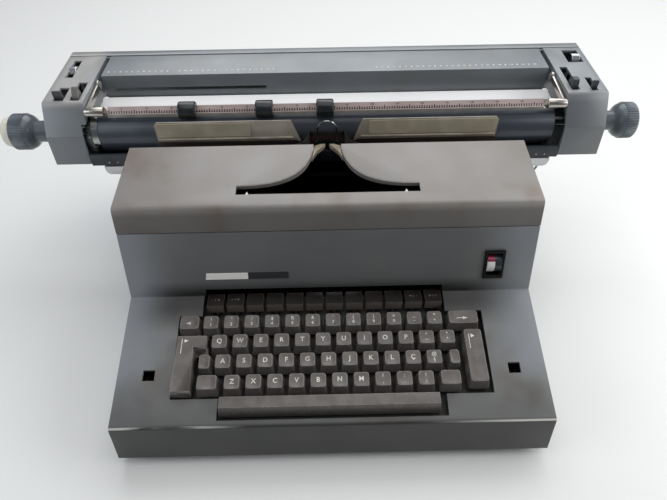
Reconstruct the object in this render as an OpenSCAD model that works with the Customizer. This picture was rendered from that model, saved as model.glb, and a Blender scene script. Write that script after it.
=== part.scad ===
// Office electric typewriter with a long carriage. Millimetres, Z up, front towards -Y.
// X = 0 is the mid-plane of the body, Z = 0 the table that the four feet stand on.

/* [Body] */
// Width of the body
body_w = 386.4; // [380:0.1:400]
// Sheet thickness of the housing
wall = 2.5; // [2:0.1:3]
// Height of the bottom edge of the front lip
lip_z = 11.4; // [10:0.1:12]
// Height of the front edge of the deck
deck_front_z = 50; // [48:0.5:52]
// Height of the crease between the deck and the upright face
crease_z = 77.8; // [76:0.1:79]
// Height of the seam under the top cover
seam_z = 143; // [141:0.5:145]
// Height of the rear deck under the carriage
rear_deck_z = 116; // [112:0.5:116]
// Height of the top cover at its front edge
cover_front_z = 166.5; // [165:0.5:168]
// Height of the top cover at its back edge
cover_back_z = 172.7; // [171:0.1:174]
// Depth from the origin to the rear face of the body
rear_y = 192; // [190:0.5:196]
// Radius of a rubber foot
foot_r = 14; // [10:0.5:18]

/* [Keyboard] */
// Distance between neighbouring keys
key_pitch = 19.05; // [19:0.01:19.2]
// Distance between key rows along the slope
row_pitch = 19.27; // [19.2:0.01:19.4]
// Slope of the key tops, in degrees
key_slope = 9.57; // [8:0.01:11]
// Height of the number row's key tops
key_top_z = 76.4; // [75:0.1:78]
// Travel of a key
key_travel = 4; // [3:0.1:4.5]
// Width of a letter key at its skirt
key_skirt_w = 16.8; // [15:0.1:17.4]
// Width of a letter key at its top
key_face_w = 12.6; // [11:0.1:14]

/* [Type basket] */
// Number of typebars
bar_count = 43; // [21:2:45]
// Angle between neighbouring typebars
bar_step = 2.4; // [2.3:0.05:2.45]
// Thickness of a typebar
bar_t = 1.1; // [0.9:0.05:1.2]
// Radius of the circle that the typebars pivot on
segment_r = 44; // [43:0.5:45]
// Height of the typebar pivots
segment_z = 88; // [86:0.5:90]

/* [Carriage] */
// Half the width of the carriage over its end covers
carriage_half = 286.4; // [284:0.1:290]
// Half the clear width between the end covers
bay_half = 245; // [244:0.1:246]
// Height of the carriage's top plane
carriage_top_z = 194.5; // [193.5:0.1:196]
// Radius of the platen
platen_r = 22; // [21:0.1:22]
// Radius of the platen shaft
shaft_r = 5; // [4:0.1:5.5]
// Radius of the turning knobs
knob_r = 19; // [17:0.1:20]
// Travel of the carriage to each side
carriage_travel = 205; // [190:1:205]
// Radius of a paper bail roller
bail_roller_r = 8.8; // [8:0.1:8.8]

/* [Hidden] */
$fn = 48;

// Clearance between pieces that only lie beside each other
gap = 0.3;
// Clearance between a pin and its bore
run = 0.05;

// The housing's side outline, as (Y, Z, corner radius)
half_w = body_w / 2;
lip_y = -199.2;
deck_front_y = -190;
crease_y = -69;
seam_y = -46.6;
step_y = 46.5;
cover_front_y = -39.2;
cover_back_y = 42.9;
housing_outline = [
    [lip_y, lip_z, 0], [deck_front_y, deck_front_z, 4], [crease_y, crease_z, 2],
    [seam_y, seam_z - 1, 0], [step_y, seam_z - 1, 0], [step_y, rear_deck_z, 0],
    [rear_y - 2, rear_deck_z, 6], [rear_y, lip_z, 0]
];
lean = (cover_front_y - seam_y) / (cover_front_z - seam_z);
deck_slope = atan2(crease_z - deck_front_z, crease_y - deck_front_y);
face_lean = atan2(seam_y - crease_y, seam_z - crease_z);

lip_slope = (deck_front_y - lip_y) / (deck_front_z - lip_z);
// Inner faces of the front lip and the rear wall, at height z
function lip_inner(z) = lip_y + wall * sqrt(1 + lip_slope * lip_slope) + (z - lip_z) * lip_slope;
function rear_inner(z) = rear_y - wall - 2 * (z - lip_z) / (rear_deck_z - lip_z);

// Unit vector along a 2D or 3D vector
function unit(v) = v / norm(v);
// Point number i of a closed list
function at(list, i) = list[(i + len(list)) % len(list)];
// A clockwise outline of (x, y, radius) with its edges moved in by d
function inset(p, d) = [
    for (i = [0 : len(p) - 1])
        let (
            b = [p[i][0], p[i][1]],
            a = [at(p, i - 1)[0], at(p, i - 1)[1]],
            c = [at(p, i + 1)[0], at(p, i + 1)[1]],
            u = unit(b - a),
            v = unit(c - b),
            m = [u[1], -u[0]],
            n = [v[1], -v[0]],
            q = b + d * (m + n) / (1 + m * n)
        )
        [q[0], q[1], max(0, p[i][2] - d)]
];
// An outline of (x, y, radius) as points, with each corner an arc
function rounded(p, steps = 5) = [
    for (i = [0 : len(p) - 1])
        let (
            b = [p[i][0], p[i][1]],
            u = unit([at(p, i - 1)[0], at(p, i - 1)[1]] - b),
            v = unit([at(p, i + 1)[0], at(p, i + 1)[1]] - b),
            half = acos(u * v) / 2,
            r = p[i][2],
            centre = b + unit(u + v) * (r / sin(half)),
            from = b + u * (r / tan(half)) - centre,
            to = b + v * (r / tan(half)) - centre,
            sweep = 180 - 2 * half,
            side = from[0] * to[1] - from[1] * to[0] > 0 ? 1 : -1
        )
        each (r <= 0 ? [b] : [
            for (k = [0 : steps])
                let (t = side * sweep * k / steps)
                centre + [
                    from[0] * cos(t) - from[1] * sin(t),
                    from[0] * sin(t) + from[1] * cos(t)
                ]
        ])
];

// A box from its lowest and highest corners
module block(x0, x1, y0, y1, z0, z1) {
    translate([x0, y0, z0])
        cube([x1 - x0, y1 - y0, z1 - z0]);
}
// A (Y, Z) outline drawn out along X
module along_x(x0, x1, points) {
    translate([x0, 0, 0])
        rotate([90, 0, 90])
            linear_extrude(x1 - x0)
                polygon(points);
}
// An (X, Z) outline drawn out along Y
module along_y(y0, y1, points) {
    translate([0, y1, 0])
        rotate([90, 0, 0])
            linear_extrude(y1 - y0)
                polygon(points);
}
// A round bar along X
module bar_x(x0, x1, y, z, r) {
    translate([x0, y, z])
        rotate([0, 90, 0])
            cylinder(h = x1 - x0, r = r);
}
// The ring of points round point number i of a path
function ring(path, i, r, sides) =
    let (
        a = path[max(i - 1, 0)],
        c = path[min(i + 1, len(path) - 1)],
        t = unit(c - a),
        m = unit(cross(t, [0, 1, 0])),
        n = cross(m, t)
    )
    [for (k = [0 : sides - 1]) path[i] + r * (cos(360 * k / sides) * m + sin(360 * k / sides) * n)];
// A wire bent along a path of points
module wire(path, r, sides = 8) {
    last = len(path) - 1;
    points = [for (i = [0 : last]) each ring(path, i, r, sides)];
    walls = [
        for (i = [0 : last - 1], k = [0 : sides - 1])
            let (a = i * sides + k, b = i * sides + (k + 1) % sides)
            each [[a, b, b + sides], [a, b + sides, a + sides]]
    ];
    first_end = [for (k = [sides - 1 : -1 : 0]) k];
    last_end = [for (k = [0 : sides - 1]) last * sides + k];
    polyhedron(points, concat([first_end], walls, [last_end]));
}
// The same thing on both sides of the mid-plane
module both_sides() {
    children();
    mirror([1, 0, 0])
        children();
}

// Keyboard opening, tab bay and space bar notch, as (X, Y) limits
opening_x = 143.5;
opening_front = -166;
opening_back = -89.5;
bay_left = -122;
bay_right = 109;
notch_x = 101;
notch_front = -184.5;
hood_left = -120.5;
hood_right = 108.5;
hood_top_z = 84.5;
vent_x = 165;
vent_y = -144.5;
switch_x = 155.3;
switch_w = 16.6;
switch_h = 27.4;
switch_y = -59.6;
switch_z = 105.5;

// Frames, feet and rails that the housing is cut for
frame_x = half_w - 21.2;
frame_t = 4;
foot_x = 165;
foot_y = 165;
pan_z = 13;
pan_t = 2.5;
rail_z = 120;
rail_top_z = 130.5;
rail_front_y = 66;
rail_back_y = 148;
rail_w = 16;
rail_half = 238;
strike_half = 27;
strike_front = 38;
strike_back = 62.5;

module tilt_on_face(y, z) {
    translate([0, y, z])
        rotate([-face_lean, 0, 0])
            children();
}

module body_shell() {
    color("#5f6463")
        difference() {
            along_x(-half_w, half_w, rounded(housing_outline));
            difference() {
                along_x(-half_w + wall, half_w - wall, rounded(inset(housing_outline, wall)));
                block(-half_w, half_w, lip_y - 1, rear_y + 1, 0, lip_z - 1);
            }
            // open underside
            along_x(-half_w + wall, half_w - wall, [
                [lip_inner(lip_z - 1), lip_z - 1], [lip_inner(lip_z + 8), lip_z + 8],
                [rear_inner(lip_z + 8), lip_z + 8], [rear_inner(lip_z - 1), lip_z - 1]
            ]);
            // well under the top cover
            block(-half_w + wall, half_w - wall, seam_y + wall + 1, step_y - wall,
                seam_z - 20, seam_z + 5);
            // keyboard opening with its space bar notch and tabulator bay
            block(-opening_x, opening_x, opening_front, opening_back, 30, 100);
            block(-notch_x, notch_x, notch_front, opening_front + 1, 30, 100);
            block(bay_left, bay_right, opening_back - 1, crease_y + 0.6, 30, hood_top_z);
            block(hood_left, hood_right, crease_y - 1, crease_y + 9, 30, hood_top_z);
            // two square vents beside the keys
            both_sides()
                block(vent_x - 5.5, vent_x + 5.5, vent_y - 4.8, vent_y + 4.8, 40, 80);
            // switch cut-out
            tilt_on_face(switch_y, switch_z)
                block(switch_x - switch_w / 2, switch_x + switch_w / 2, -10, 10,
                    -switch_h / 2, switch_h / 2);
            // way through for the struck typebars
            block(-strike_half, strike_half, strike_front, strike_back,
                rear_deck_z - 12, seam_z + 5);
            // slots for the frames that carry the rails
            both_sides()
                block(frame_x - gap, frame_x + frame_t + gap, 58, 170, rear_deck_z - 12, rear_deck_z + 1);
            // power inlet at the back
            block(-150, -110, rear_y - 8, rear_y + 3, 30, 56);
            // lead gland beside the step
            bar_x(half_w - 5, half_w + 1, lead_gland_y, lead_gland_z, lead_gland_r);
        }
}

module base_pan() {
    color("#3c3f40")
        difference() {
            along_x(-half_w + wall + gap, half_w - wall - gap, [
                [lip_inner(pan_z) + gap, pan_z],
                [lip_inner(pan_z + pan_t) + gap, pan_z + pan_t],
                [rear_inner(pan_z + pan_t) - gap, pan_z + pan_t],
                [rear_inner(pan_z) - gap, pan_z]
            ]);
            for (x = [-foot_x, foot_x], y = [-foot_y, foot_y])
                translate([x, y, pan_z - 1])
                    cylinder(h = pan_t + 2, r = 4 + run);
            // cooling slots under the motor
            for (k = [0 : 7])
                block(70 + 10 * k, 74 + 10 * k, 105, 150, pan_z - 1, pan_z + pan_t + 1);
        }
}

module rubber_feet() {
    color("#1c1c1c")
        for (x = [-foot_x, foot_x], y = [-foot_y, foot_y])
            translate([x, y, 0]) {
                cylinder(h = pan_z - 3, r1 = foot_r - 1.5, r2 = foot_r, $fn = 48);
                translate([0, 0, pan_z - 3])
                    cylinder(h = 3, r = foot_r);
                translate([0, 0, pan_z])
                    cylinder(h = pan_t + 2, r = 4);
            }
}

// Key tops lie on one plane that falls towards the front
row_y0 = -98.8;
function row_y(row) = row_y0 - row * row_pitch * cos(key_slope);
function key_z(y) = key_top_z + (y - row_y0) * tan(key_slope);
row_x = [-112.24, -102.78, -97.93, -88.36];
row_keys = [12, 12, 11, 10];
middle_column = 5;
key_drop = 11;
plate_drop = 19;
plate_t = 2;
stem_w = 3;
stem_l = 8;
stem_depth = 24;
tab_count = 12;
tab_x = -110.6;
tab_y = -76.5;
tab_w = 16.2;
tab_l = 9;
tab_z = 77;

// Shafts inside the body
roller_y = -20;
roller_z = 38;
roller_r = 11;
roller_wheel_r = 19;
motor_y = 128;
motor_z = 56;
motor_r = 36;
motor_pulley_r = 11;
belt_x = frame_x - 22;
belt_w = 8;
belt_t = 2.4;
drum_x = -frame_x + 22;
drum_y = 110;
drum_z = 70;

module side_frames() {
    outline = [
        [-150, pan_z + pan_t], [-150, 34], [-90, 47], [crease_y + 7, crease_z - 9],
        [seam_y + 8, seam_z + 3],
        [step_y - 8, seam_z + 3], [step_y - 3.5, rear_deck_z - 6], [60, rear_deck_z - 6],
        [60, rail_z], [168, rail_z], [168, rear_deck_z - 6], [180, rear_deck_z - 6],
        [180, pan_z + pan_t]
    ];
    color("#6d7072")
        both_sides()
            difference() {
                along_x(frame_x, frame_x + frame_t, outline);
                bar_x(frame_x - 1, frame_x + frame_t + 1, roller_y, roller_z, 4 + run);
                bar_x(frame_x - 1, frame_x + frame_t + 1, 20, 100, 14);
                bar_x(frame_x - 1, frame_x + frame_t + 1, 80, 60, 22);
                bar_x(frame_x - 1, frame_x + frame_t + 1, 140, 60, 22);
            }
}

module key_hole(x, y, clearance) {
    block(x - stem_w / 2 - clearance, x + stem_w / 2 + clearance,
        y - stem_l / 2 - clearance, y + stem_l / 2 + clearance, 0, 120);
}

module all_stems(clearance) {
    for (row = [0 : 3], k = [0 : row_keys[row] - 1])
        key_hole(row_x[row] + k * key_pitch, row_y(row), clearance);
    for (k = [0 : tab_count - 1])
        key_hole(tab_x + k * key_pitch, tab_y, clearance);
    for (k = special_keys)
        key_hole(k[0], k[1], clearance);
    both_sides()
        key_hole(space_post_x, space_y, clearance);
    key_hole(space_x, space_y, clearance);
}

module keyboard_plate() {
    plate_front = -186;
    plate_back = -62;
    color("#242322")
        difference() {
            union() {
                along_x(-frame_x + 16, frame_x - 16, [
                    [plate_front, key_z(plate_front) - plate_drop - plate_t],
                    [plate_front, key_z(plate_front) - plate_drop],
                    [plate_back, key_z(plate_back) - plate_drop],
                    [plate_back, key_z(plate_back) - plate_drop - plate_t]
                ]);
                // flanges that sit on the side frames' front edge
                both_sides()
                    along_x(frame_x - 18, frame_x - gap, [
                        [-112, 42], [-112, key_z(-112) - plate_drop],
                        [plate_back, key_z(plate_back) - plate_drop], [plate_back, 42]
                    ]);
            }
            all_stems(gap);
        }
}

module power_inlet() {
    color("#1b1b1b")
        difference() {
            block(-149.7, -110.3, rear_y - 22, rear_y - 1, 30.3, 55.7);
            block(-141, -119, rear_y - 16, rear_y + 1, 36, 50);
        }
    color("#c9c6bd")
        for (x = [-136, -130, -124])
            block(x - 1, x + 1, rear_y - 17, rear_y - 5, 41, 45);
}

module drive_motor() {
    color("#8d8f8f") {
        difference() {
            union() {
                bar_x(40, 132, motor_y, motor_z, motor_r);
                for (k = [0 : 5])
                    bar_x(50 + 14 * k, 54 + 14 * k, motor_y, motor_z, motor_r + 2);
            }
            bar_x(118, 133, motor_y, motor_z, motor_r - 8);
        }
        bar_x(100, belt_x + belt_w / 2 + 3, motor_y, motor_z, 4);
        bar_x(belt_x - belt_w / 2 - 3, belt_x + belt_w / 2 + 3, motor_y, motor_z,
            motor_pulley_r - belt_t);
        // cradle feet down to the base pan
        for (x = [56, 112])
            along_x(x, x + 8, [
                [motor_y - 30, pan_z + pan_t], [motor_y - 20, motor_z - 20],
                [motor_y + 20, motor_z - 20], [motor_y + 30, pan_z + pan_t]
            ]);
    }
}

// Closed line round the roller's wheel and the motor's pulley, in the (Y, Z) plane
function belt_line(wheel_r, pulley_r) =
    let (
        wheel = [roller_y, roller_z],
        pulley = [motor_y, motor_z],
        turn = atan2(pulley[1] - wheel[1], pulley[0] - wheel[0]),
        lean = asin((wheel_r - pulley_r) / norm(pulley - wheel)),
        steps = 18
    )
    concat(
        [for (k = [0 : steps])
            let (a = turn + 90 - lean + k * (180 + 2 * lean) / steps)
            wheel + wheel_r * [cos(a), sin(a)]],
        [for (k = [0 : steps])
            let (a = turn - 90 + lean + k * (180 - 2 * lean) / steps)
            pulley + pulley_r * [cos(a), sin(a)]]
    );

// Belt that drives the power roller
module drive_belt() {
    color("#2b2a28")
        translate([belt_x - belt_w / 2, 0, 0])
            rotate([90, 0, 90])
                linear_extrude(belt_w)
                    difference() {
                        polygon(belt_line(roller_wheel_r + gap + belt_t, motor_pulley_r + gap));
                        polygon(belt_line(roller_wheel_r + gap, motor_pulley_r - belt_t + gap));
                    }
}

module power_roller() {
    color("#33302e") {
        bar_x(-frame_x - frame_t - 3, frame_x + frame_t + 3, roller_y, roller_z, 4);
        difference() {
            bar_x(-frame_x + 6, 138, roller_y, roller_z, roller_r);
            for (k = [0 : 17])
                translate([-150 + 16 * k, roller_y, roller_z])
                    rotate([0, 90, 0])
                        difference() {
                            cylinder(h = 3, r = roller_r + 1);
                            cylinder(h = 3, r = roller_r - 1.5);
                        }
        }
        bar_x(belt_x - belt_w / 2 - 2, belt_x + belt_w / 2 + 2, roller_y, roller_z,
            roller_wheel_r);
    }
}

// The typebars stand in a fan about an upright axis through the printing point
print_y = 74.3;
print_z = 156;
bar_reach = norm([segment_r, print_z - segment_z]);
strike_angle = atan2(print_z - segment_z, segment_r);
rest_angle = 132;
swing = rest_angle - strike_angle;
beam_z = 74;
ring_in = segment_r - 7;
ring_out = segment_r + 6;
wire_r = 0.8;
fan = [for (k = [0 : bar_count - 1]) (k - (bar_count - 1) / 2) * bar_step];
fan_half = fan[bar_count - 1] + bar_step;
spool_x = 110;
spool_y = 12;
spool_r = 24;
spool_z = 146;
spool_h = 14.5;
post_r = 3;

// Places its children in the fan's own frame: X out from the printing point, Z up
module in_fan(angle) {
    translate([0, print_y, 0])
        rotate([0, 0, -90 + angle])
            children();
}

module type_segment() {
    color("#77746e") {
        difference() {
            translate([0, print_y, beam_z])
                rotate([0, 0, -90 - fan_half])
                    rotate_extrude(angle = 2 * fan_half)
                        translate([ring_in, 0])
                            square([ring_out - ring_in, segment_z + 5 - beam_z]);
            for (a = fan)
                in_fan(a)
                    block(ring_in - 1, ring_out + 1, -bar_t / 2 - 0.15, bar_t / 2 + 0.15,
                        segment_z - 5, segment_z + 6);
        }
        translate([0, print_y, segment_z])
            rotate([0, 0, -90 - fan_half + 0.5])
                rotate_extrude(angle = 2 * fan_half - 1)
                    translate([segment_r, 0])
                        circle(wire_r, $fn = 24);
        // cross beam between the side frames, with a wing under each ribbon spool
        difference() {
            union() {
                block(-frame_x + gap, frame_x - gap, 22, 40, beam_z - 8, beam_z);
                both_sides()
                    block(spool_x - 14, spool_x + 14, spool_y - 8, 23, beam_z - 8, beam_z);
            }
            bar_x(-300, 300, 31, beam_z - 4, 1.5);
        }
        both_sides()
            translate([spool_x, spool_y, beam_z - 1]) {
                cylinder(h = spool_z - beam_z - gap + 1, r = post_r + 3);
                cylinder(h = spool_z + spool_h + 3 - beam_z, r = post_r);
            }
    }
}

// One typebar at its struck position, in the fan's frame
module struck_bar() {
    difference() {
        union() {
            translate([0, bar_t / 2, 0])
                rotate([90, 0, 0])
                    linear_extrude(bar_t)
                        polygon([
                            [segment_r - 3.2, segment_z - 3], [segment_r + 3.2, segment_z - 3],
                            [segment_r + 3.2, segment_z + 1], [17.5, 134], [13.2, 148.5],
                            [5, 157.5], [3, 156], [3, 152.5], [8.8, 147.4], [13, 132],
                            [segment_r - 3.2, segment_z + 1]
                        ]);
            block(0.6, 4, -1.6, 1.6, print_z - 4.5, print_z + 4.5);
        }
        translate([segment_r, 2, segment_z])
            rotate([90, 0, 0])
                cylinder(h = 4, r = wire_r + 0.08, $fn = 24);
    }
}

// One typebar at rest, turned back about its pivot
module resting_bar(angle) {
    in_fan(angle)
        translate([segment_r, 0, segment_z])
            rotate([0, swing, 0])
                translate([-segment_r, 0, -segment_z])
                    struck_bar();
}

module typebars() {
    color("#5a5856")
        for (a = fan)
            if (abs(a) > bar_step / 2)
                resting_bar(a);
}

module middle_typebar() {
    color("#6a6865")
        resting_bar(0);
}

// Type guide, and the legs that stand on the rear deck
guide_z = 146.5;
guide_top = 152;
leg_x = 30;
leg_w = 6;
wire_x = 9.5;
loop_r = 0.8;
socket_x = 14;
socket_y = 63;
card_y = 67.4;
card_t = 1;
card_low = 158;
card_high = 183.2;

module type_guide() {
    color("#b9a777")
        both_sides()
            difference() {
                union() {
                    translate([0, 0, guide_z])
                        linear_extrude(guide_top - guide_z)
                            polygon([
                                [1.95, 69.8], [7, 69.8], [14, 66], [leg_x + leg_w, 66],
                                [leg_x + leg_w, 59], [18, 59], [18, 48], [15.4, 48],
                                [13.2, 53.5], [10.5, 59]
                            ]);
                    block(leg_x, leg_x + leg_w, 63.2, 65.6, rear_deck_z, guide_z + 1);
                    block(leg_x - 0.5, leg_x + leg_w + 8, 57.5, 65.6, rear_deck_z, rear_deck_z + 2.5);
                    // rail along the lower edge of the card guides
                    block(leg_x, 174, card_y - 1.4, card_y - 0.2, guide_z + 1, card_low + 2);
                }
                translate([socket_x, socket_y, guide_z - 1])
                    cylinder(h = 8, r = loop_r + run, $fn = 24);
                translate([leg_x + leg_w + 4, 61.5, rear_deck_z - 1])
                    cylinder(h = 5, r = 1.7);
            }
}

module card_guides() {
    color("#b9ad7c", 0.75)
        both_sides()
            along_y(card_y, card_y + card_t, [
                [27, card_low], [36, card_high], [170, card_high], [173, card_high - 3],
                [173, card_low]
            ]);
}

loop_z = 173.5;
loop_y = socket_y + 2;
loop_side = [
    [socket_x, socket_y, 138], [socket_x, socket_y, 153], [socket_x - 0.4, socket_y, 155],
    [wire_x + 0.4, loop_y, 160], [wire_x, loop_y, 162]
];
module ribbon_vibrator() {
    color("#c7c7c4")
        wire(concat(
            loop_side,
            [for (t = [0 : 15 : 180]) [wire_x * cos(t), loop_y, loop_z + wire_x * sin(t)]],
            [for (k = [len(loop_side) - 1 : -1 : 0])
                [-loop_side[k][0], loop_side[k][1], loop_side[k][2]]]
        ), loop_r);
}

// A flat strip stood on edge between two points (X, Y, lower Z)
ribbon_t = 0.3;
ribbon_h = 11;
module strip(a, b) {
    hull()
        for (p = [a, b])
            translate([p[0] - ribbon_t / 2, p[1] - ribbon_t / 2, p[2]])
                cube([ribbon_t, ribbon_t, ribbon_h]);
}

module ink_ribbon() {
    color("#1d1717")
        for (s = [-1, 1]) {
            strip([s * (spool_x - spool_r * 0.62), spool_y + spool_r * 0.62 + 1, spool_z + 2],
                [s * 21, 57.4, 153]);
            strip([s * 21, 57.4, 153], [s * 17.5, 67, 158]);
            strip([s * 17.5, 67, 158], [0, 67, 158]);
        }
}

module spool() {
    difference() {
        union() {
            cylinder(h = 1, r = spool_r);
            cylinder(h = spool_h, r = spool_r * 0.68);
            translate([0, 0, spool_h - 1])
                cylinder(h = 1, r = spool_r);
        }
        translate([0, 0, -1])
            cylinder(h = spool_h + 2, r = post_r + run);
        for (k = [0 : 2])
            rotate([0, 0, 120 * k])
                translate([10, 0, spool_h - 2])
                    cylinder(h = 3, r = 3);
    }
}

module ribbon_spool_left() {
    color("#26211f")
        translate([-spool_x, spool_y, spool_z])
            spool();
}

module ribbon_spool_right() {
    color("#26211f")
        translate([spool_x, spool_y, spool_z])
            spool();
}

module carriage_rail() {
    color("#c4c6c8")
        difference() {
            union() {
                for (y = [rail_front_y, rail_back_y])
                    along_y(y, y + rail_w, rounded([
                        [-rail_half, rail_z, 6], [-rail_half, rail_top_z, 1],
                        [rail_half, rail_top_z, 1], [rail_half, rail_z, 6]
                    ]));
                both_sides() {
                    block(160, 184, rail_front_y + 1, rail_back_y + 1, rail_z, rail_z + 6);
                    block(rail_half - 14, rail_half - 7, rail_front_y + 1, rail_back_y + 1,
                        rail_z, rail_z + 6);
                }
            }
            // V grooves that the carriage runs in
            for (y = [rail_front_y + rail_w / 2, rail_back_y + rail_w / 2])
                along_x(-rail_half - 1, rail_half + 1, [
                    [y - 3, rail_top_z + 0.01], [y, rail_top_z - 3], [y + 3, rail_top_z + 0.01],
                    [y, rail_top_z + 3]
                ]);
        }
}

lead_gland_y = 62;
lead_gland_z = 104;
lead_gland_r = 3.5;
lead_r = 1.2;
lead_x = 231;
lead_y = 74;
lead_points = [
    [lead_x, lead_y, rail_z - 1.5], [231, 74, 116], [230, 73, 112.5], [227, 71, 109],
    [222, 68, 106.5], [215, 65, 105], [207, 63, 104], [200, 62, 104],
    [half_w + 2, lead_gland_y, lead_gland_z]
];
module carriage_lead() {
    color("#b9bab8") {
        wire(lead_points, lead_r);
        bar_x(half_w - 4, half_w + 2, lead_gland_y, lead_gland_z, lead_gland_r - run);
        translate([lead_x, lead_y, rail_z - 1.6])
            cylinder(h = 1.4, r = 3);
    }
}

module mainspring_drum() {
    color("#7f7f7c") {
        bar_x(drum_x - 8, drum_x + 8, drum_y, drum_z, 26);
        bar_x(drum_x - 10, drum_x - 8, drum_y, drum_z, 28);
        bar_x(drum_x + 8, drum_x + 10, drum_y, drum_z, 28);
        bar_x(-frame_x + gap, drum_x + 14, drum_y, drum_z, 4);
    }
}

switch_t = 2;
module switch_bezel() {
    color("#151515")
        tilt_on_face(switch_y, switch_z)
            difference() {
                union() {
                    block(switch_x - switch_w / 2 + 0.1, switch_x + switch_w / 2 - 0.1, -1, 14,
                        -switch_h / 2 + 0.1, switch_h / 2 - 0.1);
                    block(switch_x - switch_w / 2 - 1.4, switch_x + switch_w / 2 + 1.4, -switch_t, 0,
                        -switch_h / 2 - 1.2, switch_h / 2 + 1.2);
                }
                block(switch_x - 7, switch_x + 7, -5, 11, -11.5, 11.5);
            }
}

module switch_rocker() {
    color("#c8372f")
        tilt_on_face(switch_y, switch_z)
            difference() {
                bar_x(switch_x - 6.6, switch_x + 6.6, 5, 0, 9.6);
                block(switch_x - 8, switch_x + 8, 6.5, 20, -12, 12);
                block(switch_x - 8, switch_x + 8, -5, 8, 10.5, 14);
            }
}

cover_outline = [
    [seam_y + 0.1, seam_z, 0], [cover_front_y, cover_front_z, 5],
    [cover_back_y, cover_back_z, 2], [step_y - 0.6, seam_z, 0]
];
// One side of the throat: a curve from the wide front to the narrow back
throat_half = 84;
throat_front = -12.5;
throat_steps = 14;
function throat_point(t) = pow(1 - t, 3) * [throat_half, throat_front]
    + 3 * t * pow(1 - t, 2) * [40, throat_front]
    + 3 * t * t * (1 - t) * [12, 0] + pow(t, 3) * [12.5, 60];
throat_side = [for (k = [0 : throat_steps]) throat_point(k / throat_steps)];
throat = concat(
    [[throat_half, throat_front - 11.5]], throat_side,
    [for (k = [throat_steps : -1 : 0]) [-throat_side[k][0], throat_side[k][1]]],
    [[-throat_half, throat_front - 11.5]]
);

module top_cover() {
    color("#8a8681")
        difference() {
            along_x(-half_w, half_w, rounded(cover_outline));
            along_x(-half_w + wall, half_w - wall, concat(
                rounded(inset(cover_outline, wall)),
                [[step_y - wall - 0.4, seam_z - 1], [seam_y + wall, seam_z - 1]]));
            translate([0, 0, seam_z + 8])
                linear_extrude(40)
                    polygon(throat);
            // the back is open behind the basket
            block(-62, 62, 38, 60, seam_z - 1, cover_back_z - 5);
        }
}

// Keys: top centre, top size and skirt size
space_y = -173.7;
space_x = -2.5;
space_face = 190.6;
space_post_x = 80;
face_l = 10.8;
skirt_l = 16.4;
taper = 2.6;
dish_r = 34;
back_key = [-132.2, row_y0];
margin_x = -133.3;
margin_y = -137.8;
margin_w = 14.8;
margin_l = 51;
wide_key = [124.15, row_y0];
return_key_at = [130.3, -135.9];
lock_key = [-114.5, row_y(2)];
narrow_key = [111, row_y(2)];
shift_left = [-110.4, row_y(3)];
shift_right = [104.9, row_y(3)];
special_keys = [back_key, [margin_x, margin_y], wide_key, return_key_at, lock_key, narrow_key,
    shift_left, shift_right];

// A moulded key: a tapered cap with a dished top on a flat steel stem
module key(x, y, face_w, top_l = face_l, w = 0, l = 0, dish = true, drop = key_drop) {
    z = key_z(y);
    full_w = w > 0 ? w : face_w + 2 * (key_skirt_w - key_face_w) / 2;
    full_l = l > 0 ? l : top_l + skirt_l - face_l;
    fall = tan(key_slope);
    difference() {
        intersection() {
            along_y(y - full_l, y + full_l, [
                [x - full_w / 2, z - drop - 3], [x - full_w / 2, z - drop + 1],
                [x - face_w / 2, z + 4], [x + face_w / 2, z + 4],
                [x + full_w / 2, z - drop + 1], [x + full_w / 2, z - drop - 3]
            ]);
            along_x(x - full_w, x + full_w, [
                [y - full_l / 2, z - drop - full_l / 2 * fall],
                [y - top_l / 2, z - top_l / 2 * fall],
                [y + top_l / 2, z + top_l / 2 * fall],
                [y + full_l / 2, z - drop + full_l / 2 * fall]
            ]);
        }
        if (dish)
            translate([x, y, z + dish_r - 0.5])
                rotate([key_slope, 0, 0])
                    rotate([90, 0, 0])
                        cylinder(h = 60, r = dish_r, center = true, $fn = 96);
    }
    block(x - stem_w / 2, x + stem_w / 2, y - stem_l / 2, y + stem_l / 2,
        z - plate_drop - stem_depth, z - drop + 2);
}

module key_row(row) {
    for (k = [0 : row_keys[row] - 1])
        if (row != 2 || k != middle_column)
            key(row_x[row] + k * key_pitch, row_y(row), key_face_w);
}

module number_keys() {
    color("#4d4946")
        key_row(0);
}

module upper_letter_keys() {
    color("#4d4946")
        key_row(1);
}

module home_letter_keys() {
    color("#4d4946")
        key_row(2);
}

module middle_letter_key() {
    color("#4d4946")
        key(row_x[2] + middle_column * key_pitch, row_y(2), key_face_w);
}

module lower_letter_keys() {
    color("#4d4946")
        key_row(3);
}

module tabulator_keys() {
    color("#37312e")
        for (k = [0 : tab_count - 1]) {
            x = tab_x + k * key_pitch;
            along_x(x - tab_w / 2, x + tab_w / 2, [
                [-82.2, tab_z - 9.5], [-81.2, tab_z], [-67, tab_z], [-67, tab_z - 4],
                [-79, tab_z - 4], [-79.5, tab_z - 9.5]
            ]);
            block(x - stem_w / 2, x + stem_w / 2, tab_y - stem_l / 2, tab_y + stem_l / 2,
                30, tab_z - 3);
        }
}

module space_bar() {
    color("#4d4946") {
        key(space_x, space_y, space_face, 9.5, space_face + 3, 13.6, false, key_drop + 3);
        both_sides()
            block(space_post_x - stem_w / 2, space_post_x + stem_w / 2,
                space_y - stem_l / 2, space_y + stem_l / 2, 20, key_z(space_y) - 6);
    }
}

module return_key() {
    color("#4d4946")
        key(return_key_at[0], return_key_at[1], 16, 48.2, 19.2, 53);
}

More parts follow.
